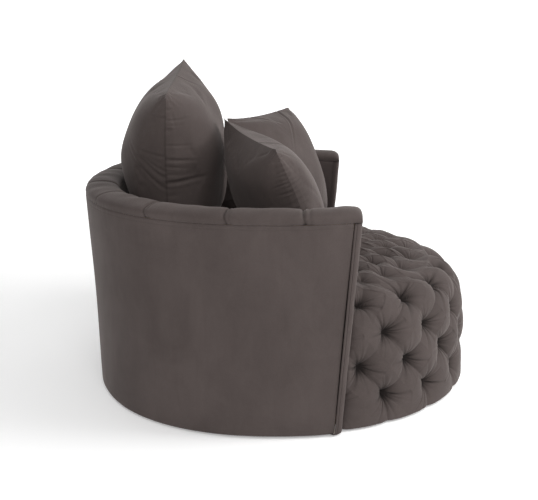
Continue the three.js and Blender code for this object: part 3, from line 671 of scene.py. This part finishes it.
# From the outside inward, the welt and its seam: how far in from the shell's outside, how far behind the tip
ARM_WELT = ((0.0024, 0.0187), (0.0005, 0.0180), (-0.0004, 0.0166), (-0.0006, 0.0148), (0.0000, 0.0134),
            (0.0014, 0.0127), (0.0004, 0.0120), (0.0, 0.0108))
ARM_HEM = (0.014, 0.006, 0.0015)


def arm_front(side, name):
    """The boxed front of an arm: welt and seam on its outer edge, a softly crowned face."""
    path = list(ARM_WELT)
    arc = np.linspace(0, math.pi / 2, 8)
    path += [(ARM_CORNER * (1 - math.cos(a)), ARM_CORNER * (1 - math.sin(a))) for a in arc]
    path += [(i, 0.0) for i in np.linspace(ARM_CORNER, SHELL_THICK - ARM_CORNER, 14)[1:-1]]
    path += [(SHELL_THICK - ARM_CORNER * (1 - math.sin(a)), ARM_CORNER * (1 - math.cos(a))) for a in arc]
    path += [(SHELL_THICK, 0.0135), (SHELL_THICK - 0.001, TIP_SETBACK)]
    path = np.array(path)
    zs = np.concatenate([SHELL_BOTTOM + np.array([0.004, 0, 0.0015, 0.006]),
                         np.linspace(SHELL_BOTTOM + 0.012, COVER_TOP, 120)])
    Z, inset = np.meshgrid(zs, path[:, 0], indexing="ij")
    setback = np.broadcast_to(path[:, 1], Z.shape).copy()
    across = np.clip(inset / SHELL_THICK, 0, 1)
    crown = ARM_CROWN * np.sin(math.pi * across) ** 0.8 * smoothstep(Z, 0.36, 0.46) * (setback < 0.012)
    ripple = 0.0007 * Waves(31 + side, 0.07)(np.stack([inset, Z * 0.8, 0 * Z], -1))
    setback = setback - crown + ripple * (setback < 0.009)
    for row, inward in enumerate(ARM_HEM):
        setback[row] += inward
    a, b = shell_axes(Z, inset)
    y = tip_y(Z) + setback
    x = side * a * (1 - (np.abs(y - CENTRE_Y) / b) ** POWER) ** (1 / POWER)
    count = len(path)
    # Painted shade in the welt's seam, at both edges of the front and under the top seam
    fold = np.interp(np.arange(count), [0, 1, 4, 5, 6, 7, count - 4, count - 1],
                     [0.35, 0.0, 0.05, 0.5, 0.25, 0.0, 0.0, 0.3])
    return grid_piece(name, np.stack([x, y, Z], -1), np.maximum(fold, 0.9 * np.exp(-(COVER_TOP - Z) / 0.003)))


# The rim's pleats: their columns, where each starts on the outer seam and where it ends on the inner one
PLEATS = np.arange(-9, 10, 2.0)
PLEATS_OUT = np.array([-8.74, -7.07, -5.12, -3.15, -1.08, 0.95, 3.10, 5.10, 7.05, 8.75])
PLEATS_IN = np.array([-8.44, -6.64, -4.67, -2.90, -1.55, 1.00, 2.90, 4.75, 6.75, 8.45])
PLEAT_DEPTHS = np.array([1.15, 1.1, 1.2, 0.85, 1.0, 0.9, 1.05, 0.9, 1.15, 1.0])
RIM_COLUMNS = 20
RIM_COLUMN = SHELL_ARC / RIM_COLUMNS
PLEAT_DEEP = 0.0062
PLEAT_WIDTH = 0.0095
TWIN_DEEP = 0.0028
TWIN_OFF = 0.0125
TWIN_WIDTH = 0.0065
ROLL_ROUND = 0.62
ROLL_END_DROP = 0.42
ROLL_END_BULGE = 0.0028


def pleat_column(T, places):
    """Columns counted along the shell, with a pleat at each odd one, from where the pleats lie."""
    half = RIM_COLUMNS / 2
    return np.interp(T * half, np.r_[-half, places, half], np.r_[-half, PLEATS, half])


def rim_cover():
    """The rolled rim, gathered by ten pleats, from the outer seam over to the inner one."""
    inner = np.linspace(-0.985, 0.985, 760)
    ends = np.array([0.9995, 0.998, 0.995, 0.991])
    ts = np.concatenate([[-1, -1], -ends, inner, ends[::-1], [1, 1]])
    T, Q = np.meshgrid(ts, np.linspace(0, math.pi, 37))
    arc = T * SHELL_ARC / 2
    inward = Q / math.pi
    column = np.array([pleat_column(ts, PLEATS_OUT + (PLEATS_IN - PLEATS_OUT) * share)
                       for share in inward[:, 0]])
    centre = np.clip(2 * np.floor(column / 2) + 1, -9, 9)
    strength = PLEAT_DEPTHS[((centre + 9) / 2).astype(int)]
    off = (column - centre) * RIM_COLUMN
    crease = (1 - np.clip(np.abs(off) / PLEAT_WIDTH, 0, 1)) ** 1.7
    depth = strength * (PLEAT_DEEP * crease * (0.75 + 0.25 * inward) + 0.0013 * bell(off, 0.034))
    twin = (1 - np.clip(np.abs(off + TWIN_OFF) / TWIN_WIDTH, 0, 1)) ** 1.5 * (strength > 1.0)
    depth += TWIN_DEEP * twin
    seam_run = np.minimum(Q, math.pi - Q) * 0.04
    pucker = np.random.default_rng(3).uniform(-1, 1, 300)
    pucker = np.interp(arc % 1.7, np.linspace(0, 1.7, 300), pucker)
    depth += 0.0011 * (0.35 + np.exp(-np.abs(off) / 0.035)) * pucker * np.exp(-seam_run / 0.013)
    depth += 0.0013 * Waves(41, 0.10)(np.stack([arc, Q * 0.04, 0 * Q], -1)) + 0.0013
    distance = (1 - np.abs(T)) * SHELL_ARC / 2
    height = ROLL_RISE * (1 - ROLL_END_DROP * bell(distance, 0.012, 1.1))
    depth = depth * smoothstep(distance, 0.0, 0.03)
    rise = np.sin(Q) ** ROLL_ROUND * (height - depth)
    edge = np.clip(1 - np.sin(Q), 0, 1) ** 4
    inset = SHELL_THICK / 2 * (1 - np.cos(Q))
    inset = inset + np.where(Q < math.pi / 2, 1, -1) * (0.55 * depth * edge + 0.0015 * edge)
    rise[:, [0, -1]] = 0.0
    Z = SEAM_Z + rise
    points = shell_at(T * shell_end(Z, inset, 0.0), Z, inset)
    points[:, [0, -1], 1] -= ROLL_END_BULGE * np.sin(Q[:, :1])
    # Painted shade in the pleats and along both seams of the roll
    fold = 0.80 * crease + 0.336 * twin + 0.15 * np.exp(-seam_run / 0.003)
    return grid_piece("rim_cover", points, np.clip(fold, 0, 1))


BACK_BOTTOM = 0.300
BACK_LOW_TUFT = 0.335
BACK_ROW = 0.085
BACK_LAST_ROW = 2
BACK_TUFT_DEEP = 0.024
BACK_PLEAT = 0.009
BACK_GATHER = 0.0013
BACK_FUNNEL = 0.015


def inner_cover():
    """The tufted inside of the shell, its tufts under the rim's pleats."""
    ts = np.concatenate([[-1], np.linspace(-0.998, 0.998, 560), [1]])
    T, Z = np.meshgrid(ts, np.linspace(BACK_BOTTOM, COVER_TOP, 120))
    column = pleat_column(T, PLEATS_IN)
    row = (Z - BACK_LOW_TUFT) / BACK_ROW
    depth, folds, _ = tufting(column, row, RIM_COLUMN, BACK_ROW, BACK_LAST_ROW, BACK_TUFT_DEEP, BACK_PLEAT,
                              51, BACK_GATHER, BACK_FUNNEL)
    keep = smoothstep((1 - np.abs(T)) * SHELL_ARC / 2, 0.0, 0.05)
    depth = (depth + folds) * keep + 0.002 + 0.003 * np.exp(-(COVER_TOP - Z) / 0.003)
    inset = SHELL_THICK - depth
    points = shell_at(T * shell_end(Z, inset, TIP_SETBACK), Z, inset)
    # Painted shade: the deeper the cover lies in its tufts and pleats, the darker
    return grid_piece("inner_back_cover", points, np.clip(depth / BACK_TUFT_DEEP, 0, 1), turn=-1)


for piece, node in ((outer_cover(), "outer_panel"), (arm_front(-1, "arm_front_right"), "arm_pad_right"),
                    (arm_front(1, "arm_front_left"), "arm_pad_left"), (rim_cover(), "rim_roll"),
                    (inner_cover(), "inner_back_pad")):
    dress(piece, VELVET_SHELL, "velvet", "chair", node)

# The loose pillows
CLOTH = dict(quality=6, mass=0.25, air_damping=3.0, tension_stiffness=15, compression_stiffness=15,
             shear_stiffness=4, bending_stiffness=0.25, use_pressure=True, uniform_pressure_force=2.2,
             vertex_group_shrink="seam", shrink_min=0.0, shrink_max=0.02)
CLOTH_FRAMES = 20
CLOTH_CAP = 0.005
CLOTH_START = 0.985
PANEL_POINTS = 45
PINCH = 0.055
EDGE_POWER = 2.1
EDGE_ROUND = 0.55
BLUNT_REACH = 0.24
SEAM_SHADE = 0.0016
CREASE_SHADE = 60
PUCKERED_EDGES = (0,) * 5 + (1,) * 6 + (2,) * 5


def refine(grid, factor=4):
    """A finer grid through the same points, Catmull-Rom along both directions."""
    for _ in range(2):
        ends = np.concatenate([2 * grid[:1] - grid[1:2], grid, 2 * grid[-1:] - grid[-2:-1]])
        t = np.linspace(0, len(grid) - 1, (len(grid) - 1) * factor + 1)
        i = np.minimum(t.astype(int), len(grid) - 2)
        f = (t - i)[:, None, None]
        a, b, c, d = ends[i], ends[i + 1], ends[i + 2], ends[i + 3]
        square = (2 * a - 5 * b + 4 * c - d) * f ** 2
        grid = 0.5 * (2 * b + (c - a) * f + square + (3 * b - a - 3 * c + d) * f ** 3)
        grid = grid.transpose(1, 0, 2)
    return grid


def two_panels(name, front, back):
    """A closed bag of two square grids that share their border."""
    n = front.shape[0]
    index_front = np.arange(n * n).reshape(n, n)
    index_back = index_front.copy()
    index_back[1:-1, 1:-1] = n * n + np.arange((n - 2) ** 2).reshape(n - 2, n - 2)
    points = np.concatenate([front.reshape(-1, 3), back[1:-1, 1:-1].reshape(-1, 3)])
    quads = []
    for index, step in ((index_front, 1), (index_back, -1)):
        q = np.stack([index[:-1, :-1], index[:-1, 1:], index[1:, 1:], index[1:, :-1]], -1)
        quads.append(q.reshape(-1, 4)[:, ::step])
    return mesh_object(name, points, np.concatenate(quads)), index_back


def blow_up(front, back):
    """A short cloth simulation: the seam draws in and the panels fill out, but no further than the cap."""
    obj, index_back = two_panels("blown", front, back)
    n = front.shape[0]
    border = np.unique(np.concatenate([index_back[0], index_back[-1], index_back[:, 0], index_back[:, -1]]))
    obj.vertex_groups.new(name="seam").add([int(i) for i in border], 1.0, "REPLACE")
    cloth = obj.modifiers.new("cloth", "CLOTH")
    for key, value in CLOTH.items():
        setattr(cloth.settings, key, value)
    cloth.settings.effector_weights.gravity = 0.0
    cloth.collision_settings.use_collision = False
    cloth.collision_settings.use_self_collision = False
    cloth.point_cache.frame_start = 1
    cloth.point_cache.frame_end = CLOTH_FRAMES
    start = points_of(obj.data).astype(float)
    for number in range(1, CLOTH_FRAMES + 1):
        bpy.context.scene.frame_set(number)
    evaluated = obj.evaluated_get(bpy.context.evaluated_depsgraph_get())
    moved = points_of(evaluated.data).astype(float) - start
    far = np.linalg.norm(moved, axis=1, keepdims=True)
    moved *= np.minimum(1, CLOTH_CAP / np.maximum(far, 1e-9))
    bpy.context.scene.frame_set(1)
    bpy.data.objects.remove(obj, do_unlink=True)
    result = start + moved
    return result[:n * n].reshape(n, n, 3), result[index_back.ravel()].reshape(n, n, 3)


def pillow_form(size, U, V, seed, blunt, nod, corner, slump, ridge, lift):
    """The two panels of a filled pillow before its puckers."""
    width, thickness, height = size
    X = width / 2 * U * (1 - PINCH * (1 - V ** 2))
    Z = height / 2 * V * (1 - PINCH * (1 - U ** 2))
    tuck = blunt * np.exp(-np.hypot(1 - corner * U, 1 - V) / BLUNT_REACH)
    X, Z = X - corner * tuck, Z - tuck
    steep = ridge * height / thickness
    wedge = (1 - np.exp(-steep * (1 - V))) / (1 - np.exp(-steep))
    above = smoothstep(V, 0.0, 0.8)
    across = (1 - above) * (1 - np.abs(V) ** EDGE_POWER) ** EDGE_ROUND + above * wedge
    across *= (1 - np.abs(U) ** EDGE_POWER) ** EDGE_ROUND
    Y = thickness / 2 * across * (1 + 0.03 * Waves(seed, 1.1, dims=2)(np.stack([U, V], -1)))
    bend = nod * smoothstep(V, 0.1, 1.1)
    ahead, behind = (1 + fill * smoothstep(-V, 0.0, 0.9) for fill in slump)
    Z = Z + lift * np.exp(-((1 - U) ** 2 + (1 - V) ** 2) / 0.40 ** 2)
    return np.stack([X, -Y * ahead - bend, Z], -1), np.stack([X, Y * behind - bend, Z], -1)


def corner_gathers(away, r):
    """Short creases that run out of each corner."""
    depth = 0
    for near_x in (0, 2):
        for near_z in (1, 3):
            span = np.hypot(away[near_x], away[near_z])
            turned = np.arctan2(away[near_z], away[near_x])
            for direction in (0.42, 0.80, 1.16):
                off = (turned - direction - r.normal(0, 0.07)) * span
                reach = bell(span - r.uniform(0.045, 0.065), r.uniform(0.022, 0.040))
                width = r.uniform(0.0035, 0.0060)
                depth = depth + r.uniform(0.0006, 0.0019) * reach * bell(off, width)
    return depth


def crease_depth(fold, away, along, size):
    """One crease that runs in from a seam and fades, with a soft ridge on either side."""
    edge, spot, slope, length, deep, half = fold
    t = away[edge] / length
    off = (along[edge] - spot) * size[edge] - slope * away[edge] * (1 + 0.12 * t)
    line = bell(off, half) - 0.38 * bell(np.abs(off) - 1.9 * half, half)
    return deep * line * bell(t, 1 / 1.15, 3) * smoothstep(t, -0.25, 0.12)


def pillow(name, size, seed, folds, blunt=0.0, nod=0.0, corner=-1, slump=(0.0, 0.0), ridge=1.8, lift=0.0):
    """A loose pillow: two panels sewn round the edge, blown up, then puckered along its seams.
    size is width, thickness and height. folds are (panel, edge, place along the edge, slope, length, depth,
    half width), edge 0 to 3 from the -x side anticlockwise; panel -1 is the front one and 1 the back one.
    blunt tucks in the top corner on side corner, nod moves the top edge forward, slump fills the panels
    below their middle, ridge is their slope at the top seam and lift draws up the corner at +x."""
    width, thickness, height = size
    spread = math.pi / 2 * 0.86
    s = np.sin(np.linspace(-1, 1, PANEL_POINTS) * spread) / math.sin(spread)
    U, V = np.meshgrid(s, s)
    front, back = pillow_form(size, U, V, seed, blunt, nod, corner, slump, ridge, lift)
    front, back = blow_up(front * CLOTH_START, back * CLOTH_START)
    r = np.random.default_rng(seed)
    fine = refine(np.stack([U, V, 0 * U], -1))
    along = (fine[..., 1], fine[..., 0], fine[..., 1], fine[..., 0])
    half_sides = (height / 2, width / 2, height / 2, width / 2)
    panels = []
    creases = []
    for side, grid in ((-1, refine(front)), (1, refine(back))):
        normal = grid_normals(grid)
        middle = len(grid) // 2
        normal *= np.sign(normal[middle, middle, 1] * side)
        step_x = np.linalg.norm(np.diff(grid, axis=1), axis=-1)
        step_z = np.linalg.norm(np.diff(grid, axis=0), axis=-1)
        left = np.concatenate([np.zeros((len(grid), 1)), np.cumsum(step_x, 1)], 1)
        low = np.concatenate([np.zeros((1, len(grid))), np.cumsum(step_z, 0)], 0)
        away = (left, low, left[:, -1:] - left, low[-1:] - low)
        edge_distance = np.minimum.reduce(away)
        depth = 0.0022 * Waves(seed + 5 + side, 0.16)(grid) * smoothstep(edge_distance, 0.0, 0.06)
        listed = [f[1:] for f in folds if f[0] == side]
        for edge in PUCKERED_EDGES:
            listed.append((edge, r.uniform(-0.8, 0.8), r.normal(0, 0.18), r.uniform(0.016, 0.050),
                           r.uniform(0.0004, 0.0015) * r.choice([1, 1, -0.5]), r.uniform(0.0028, 0.0055)))
        depth = depth + corner_gathers(away, r)
        for fold in listed:
            depth = depth + crease_depth(fold, away, along, half_sides)
        panels.append(grid - normal * depth[..., None])
        shade = 0.55 * np.exp(-edge_distance / SEAM_SHADE) + CREASE_SHADE * np.clip(depth, 0, None)
        creases.append(np.clip(shade, 0, 0.75))
    middle = (panels[0] + panels[1]) / 2
    for where in (np.s_[0], np.s_[-1], np.s_[:, 0], np.s_[:, -1]):
        panels[0][where] = panels[1][where] = middle[where]
    every = np.concatenate([p.reshape(-1, 3) for p in panels])
    low, high = every.min(0), every.max(0)
    panels = [(p - (low + high) / 2) * (size / (high - low)) for p in panels]
    obj, _ = two_panels(name, *panels)
    set_painted_shade(obj, np.concatenate([creases[0].ravel(), creases[1][1:-1, 1:-1].ravel()]))
    return obj


def place(obj, position, lean=0.0, roll=0.0, turn=0.0):
    turned = Matrix.Translation(position)
    for degrees, axis in ((turn, "Z"), (lean, "X"), (roll, "Y")):
        turned = turned @ Matrix.Rotation(math.radians(degrees), 4, axis)
    obj.data.transform(turned)
    obj.data.update()


def side_gathers():
    """Fine puckers all along the side seam, on both panels."""
    r = np.random.default_rng(77)
    return [(panel, 0, spot + r.uniform(-0.02, 0.02), r.normal(0, 0.10), r.uniform(0.022, 0.050),
             r.uniform(0.0009, 0.0022), r.uniform(0.0020, 0.0032))
            for spot in np.linspace(0.86, -0.60, 25) for panel in (-1, 1)]


BACK_SIZE = (0.490, 0.311, 0.493)
BACK_ROLL = 8
BACK_SOLID_HEIGHT = 0.4832
BACK_REACH = (BACK_SIZE[0] * math.sin(math.radians(BACK_ROLL))
              + BACK_SOLID_HEIGHT * math.cos(math.radians(BACK_ROLL)))
BACK_TOP = 0.917
BACK_FOLDS = [
    (-1, 0, 0.67, 0.02, 0.09, 0.0013, 0.003), (-1, 0, 0.61, 0.00, 0.08, 0.0010, 0.002),
    (-1, 0, 0.38, -0.05, 0.09, 0.0014, 0.003), (-1, 0, 0.22, -0.10, 0.10, 0.0024, 0.004),
    (-1, 0, 0.14, -0.12, 0.07, 0.0018, 0.003), (-1, 0, -0.05, 0.03, 0.13, 0.0042, 0.005),
    (-1, 0, 0.05, -0.08, 0.06, 0.0014, 0.003), (-1, 3, 0.10, 0.35, 0.09, 0.0014, 0.004),
    (1, 0, 0.25, 0.12, 0.11, 0.0018, 0.004), (1, 0, 0.08, 0.40, 0.10, 0.0018, 0.005),
    (1, 0, 0.00, 0.55, 0.13, 0.0028, 0.005), (1, 0, -0.12, 0.60, 0.14, 0.0028, 0.005),
    (1, 0, 0.70, 0.10, 0.08, 0.0016, 0.004)]
RIGHT_FOLDS = [(-1, 3, -0.35, 0.40, 0.10, 0.0018, 0.006)] + side_gathers()
LEFT_FOLDS = [
    (-1, 3, 0.52, -0.75, 0.16, 0.0032, 0.006), (-1, 3, -0.35, 0.40, 0.10, 0.0014, 0.006),
    (-1, 1, 0.20, 0.30, 0.10, 0.0016, 0.006), (1, 3, -0.55, 0.50, 0.10, 0.0018, 0.006)]
cushion_back = pillow("cushion_back", BACK_SIZE, 61, BACK_FOLDS, blunt=0.019, nod=0.009,
                      slump=(0.14, 0.0), ridge=2.0)
place(cushion_back, (0, 0.3075, BACK_TOP - BACK_REACH / 2), roll=-BACK_ROLL)
cushion_right = pillow("cushion_right", (0.420, 0.212, 0.408), 62, RIGHT_FOLDS, blunt=0.003, nod=-0.009,
                       slump=(0.0, 0.22), lift=0.009)
place(cushion_right, (-0.228, 0.008, CROWN + 0.1795), lean=-23, roll=-3.9, turn=19.7)
cushion_left = pillow("cushion_left", (0.420, 0.204, 0.392), 63, LEFT_FOLDS, blunt=0.006, nod=0.008, corner=1)
place(cushion_left, (0.227, 0.001, CROWN + 0.1805), lean=-23, roll=-0.9, turn=-26.8)
for piece, node in ((cushion_back, "pillow_back"), (cushion_right, "pillow_right"),
                    (cushion_left, "pillow_left")):
    dress(piece, VELVET_PILLOW, "velvet", node, node)

# The seat's foam
FOAM_INSET = 0.1366
FOAM_ROUND = 0.012
DENTS = ((4, 0.054), (5, 0.040), (6, 0.026))
DENT_WIDTH = 0.035
FOAM_BELOW = 0.006


def rounded_plate(name, outline, bottom, top, radius):
    """A slab on a closed plan outline, with rounded edges."""
    n = len(outline)
    middle = outline.mean(0)
    span = np.linalg.norm(outline - middle, axis=1, keepdims=True)
    direction = (outline - middle) / span

    def half(level, towards_other):
        steps = [((span - radius) * share, 0) for share in np.linspace(0, 0.96, 26)[1:]]
        steps += [(span - radius, 0), (span - radius * 0.3, radius * 0.3), (span, radius)]
        return [np.column_stack([middle + direction * reach, np.full(n, level + towards_other * rise)])
                for reach, rise in steps]

    rings = half(bottom, 1) + half(top, -1)[::-1]
    points = np.concatenate(rings + [[[*middle, bottom]], [[*middle, top]]])
    obj = mesh_object(name, points, grid_faces(len(rings), n, wrap=True))
    last = (len(rings) - 1) * n
    hub = len(rings) * n
    caps = [((i + 1) % n, i, hub) for i in range(n)]
    caps += [(last + i, last + (i + 1) % n, hub + 1) for i in range(n)]
    add_cap(obj, caps)
    return obj


def drum_outline(inset, back, count=160):
    angles = np.linspace(0, 2 * math.pi, count, endpoint=False)
    ahead = np.cos(angles) > 0
    b = np.where(ahead, DRUM_B - inset, back)
    r = plan_radius(angles, DRUM_A - inset, b, np.where(ahead, 2.0, POWER))
    return np.column_stack([r * np.sin(angles), -r * np.cos(angles)])


def press_tufts(obj):
    """The foam gives way under each tuft of the cover above it."""
    co = points_of(obj.data)
    upper = co[:, 2] > 0.32
    for row, dent in DENTS:
        for column in range(-COLUMNS, COLUMNS):
            if (column + row) % 2 == 1:
                drifted = column + tuft_drift(column, row)
                spot = seat_at(np.array(drifted * COLUMN), np.array(float(row)))
                rho = np.hypot(co[:, 0] - spot[0], co[:, 1] - spot[1])
                co[:, 2] -= upper * dent * bell(rho, DENT_WIDTH)
    co[:, 2] -= upper * FOAM_BELOW
    obj.data.vertices.foreach_set("co", co.ravel())
    obj.data.update()


core_low, core_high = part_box("seat_core")
foam_outline = drum_outline(FOAM_INSET, SEAT_BACK - 0.001)
seat_foam = rounded_plate("seat_foam", foam_outline, core_low[2], core_high[2], FOAM_ROUND)
press_tufts(seat_foam)
dress(seat_foam, foam_material("foam"), "foam", "chair", "seat_core")

# The webs and the dust cloth
WEBBING = woven("webbing", (0.012, 0.011, 0.011), (0.05, 0.047, 0.045), 420, 0.0005)
DUST = woven("dust_weave", (0.010, 0.010, 0.011), (0.032, 0.031, 0.031), 900, 0.0003)
# Half a strap's section from its middle line to its edge: share of the half width, share of the thickness
SELVEDGE = ((0.88, 0.06), (0.96, 0.0), (0.99, 0.15), (1.0, 0.5), (0.99, 0.85), (0.96, 1.0), (0.88, 0.94))
STRAP_STEPS = 120
POST_GAP = 0.0128
CLOTH_INSET = 0.0188
SIDE_PAD = 0.1288
DUST_Z = 0.0472
DUST_HOLE = 0.236
DUST_POINTS = 360
STAPLES = 60
STAPLE_PULL = 0.00035


def strap(name, node):
    """A stretched flat strap with rounded edges and selvedges, where its solid is."""
    low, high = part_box(node)
    size = [high[i] - low[i] for i in range(3)]
    along = 0 if size[0] > size[1] else 1
    across = 1 - along
    section = [*SELVEDGE, *((-w, h) for w, h in SELVEDGE[::-1])]
    points = np.zeros((STRAP_STEPS, len(section), 3))
    points[..., along] = np.linspace(low[along], high[along], STRAP_STEPS)[:, None]
    for j, (w, h) in enumerate(section):
        points[:, j, across] = (low[across] + high[across]) / 2 + w * size[across] / 2
        points[:, j, 2] = low[2] + h * size[2]
    obj = mesh_object(name, points.reshape(-1, 3), grid_faces(STRAP_STEPS, len(section), wrap=True))
    dress(obj, WEBBING, "webbing", "chair", node)


for kind, count in (("long", 4), ("cross", 3)):
    for i in range(count):
        strap(f"strap_{kind}_{i + 1}", f"web_{kind}_{i + 1}")


def dust_outline():
    """The shell's inside line at the back and the drum's at the front, in even steps."""
    steps = DUST_POINTS // 2 + 1
    inset = POST_GAP + CLOTH_INSET
    end = shell_end(DUST_Z, inset, TIP_SETBACK)
    back = shell_at(np.linspace(1, -1, steps) * end, np.full(steps, DUST_Z), inset)[:, :2]
    a, b = DRUM_A - SIDE_PAD - CLOTH_INSET, DRUM_B - SIDE_PAD - CLOTH_INSET
    distance = -back[0, 1]
    front_end = math.atan2(a * math.sqrt(1 - (distance / b) ** 2), distance)
    angles = np.linspace(-front_end, front_end, steps)
    r = plan_radius(angles, a, b, 2.0)
    outline = np.concatenate([back, np.column_stack([r * np.sin(angles), -r * np.cos(angles)])])
    closed = np.concatenate([outline, outline[:1]])
    run = np.concatenate([[0], np.cumsum(np.linalg.norm(np.diff(closed, axis=0), axis=1))])
    even = np.linspace(0, run[-1], DUST_POINTS, endpoint=False)
    return np.column_stack([np.interp(even, run, closed[:, i]) for i in (0, 1)])


def dust_cloth():
    """Thin black cloth stapled under the board, a ring with a faint sag and pulls at its staples."""
    low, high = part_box("dust_cover")
    outline = dust_outline()
    hole = outline / np.linalg.norm(outline, axis=1, keepdims=True) * DUST_HOLE
    round_share = np.linspace(0, 1, DUST_POINTS, endpoint=False)
    shares = np.linspace(0, 1, 14)
    loops = []
    for level, inward, order in ((low[2], STAPLE_PULL, shares), (high[2], -STAPLE_PULL, shares[::-1])):
        for share in order:
            near_edge = np.exp(-(1 - share) / 0.1) + np.exp(-share / 0.08)
            pull = STAPLE_PULL * np.cos(round_share * 2 * math.pi * STAPLES) * near_edge
            z = level + inward + pull * 0.5 + 0.0002 * math.sin(math.pi * share)
            loops.append(np.column_stack([hole + (outline - hole) * share * 0.997, z]))
    faces = grid_faces(len(loops) + 1, DUST_POINTS, wrap=True) % (len(loops) * DUST_POINTS)
    obj = mesh_object("dust_cloth", np.concatenate(loops), faces[:, ::-1])
    dress(obj, DUST, "webbing", "chair", "dust_cover")


dust_cloth()

# The carried-over solids of the frame, swivel and glides
PLY = plywood("plywood")
STEEL = steel("steel", (0.50, 0.51, 0.53))
DARK_STEEL = steel("dark_steel", (0.20, 0.20, 0.21))
NYLON = moulded("nylon", (0.016, 0.016, 0.018))
for name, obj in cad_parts.items():
    if name.startswith("glide") or name == "ball_cage":
        finish = NYLON
    elif name.startswith(("lower_screw", "upper_bolt", "swivel_rivet")):
        finish = DARK_STEEL
    elif "swivel_plate" in name or "race" in name:
        finish = STEEL
    else:
        finish = PLY
    if not obj.material_slots:
        obj.data.materials.append(finish)
    for material_slot in obj.material_slots:
        material_slot.material = finish

# Stage and light
FLOOR_HALF = 6.0
COVE_START = 3.0
COVE_RADIUS = 1.6
COVE_TOP = 6.0
bpy.context.scene.view_settings.view_transform = "Standard"


def floor_material():
    """Pale matt floor that glows a little, more towards the far side, to stay near white."""
    shader = Shader("floor")
    shader.set("Base Color", shader.ramp(shader.noise(0.8, 2, 0.5), (0.3, 0.90), (0.7, 0.93)))
    shader.set("Roughness", 0.9)
    shader.set("Specular IOR Level", 0.1)
    away = shader.add("SeparateXYZ", Vector=shader.place).outputs["X"]
    spread = shader.add("MapRange", Value=away)
    for key, value in (("From Min", 1.0), ("From Max", 3.6), ("To Min", 0.24), ("To Max", 0.55)):
        spread.inputs[key].default_value = value
    shader.set("Emission Color", (1, 1, 1))
    shader.set("Emission Strength", spread.outputs[0])
    return shader.material


def floor():
    profile = [(-FLOOR_HALF, 0.0), (COVE_START, 0.0)]
    profile += [(COVE_START + COVE_RADIUS * math.sin(a), COVE_RADIUS * (1 - math.cos(a)))
                for a in np.linspace(0.05, math.pi / 2, 14)]
    profile += [(COVE_START + COVE_RADIUS, COVE_TOP)]
    cols = np.linspace(-FLOOR_HALF, FLOOR_HALF, 5)
    points = np.array([[x, y, z] for x, z in profile for y in cols])
    obj = mesh_object("floor", points, grid_faces(len(profile), len(cols))[:, ::-1])
    obj.data.materials.append(floor_material())


floor()


def area_light(name, position, target, size, power):
    data = bpy.data.lights.new(name, "AREA")
    data.shape = "DISK"
    data.size = size
    data.energy = power
    obj = bpy.data.objects.new(name, data)
    bpy.context.scene.collection.objects.link(obj)
    direction = Vector(target) - Vector(position)
    obj.matrix_world = Matrix.Translation(position) @ direction.to_track_quat("-Z", "Y").to_matrix().to_4x4()


area_light("key", (-0.4, -3.2, 2.0), (0, -0.1, 0.4), 1.5, 60)
area_light("fill", (-3.3, -0.4, 1.9), (0, 0.0, 0.35), 2.0, 42)
area_light("top", (-0.5, -1.3, 2.3), (0.1, 0, 0.45), 1.2, 15)

world = bpy.data.worlds.new("world")
bpy.context.scene.world = world
world.use_nodes = True
background = world.node_tree.nodes["Background"]
background.inputs["Color"].default_value = (1, 1, 1, 1)
background.inputs["Strength"].default_value = 0.50
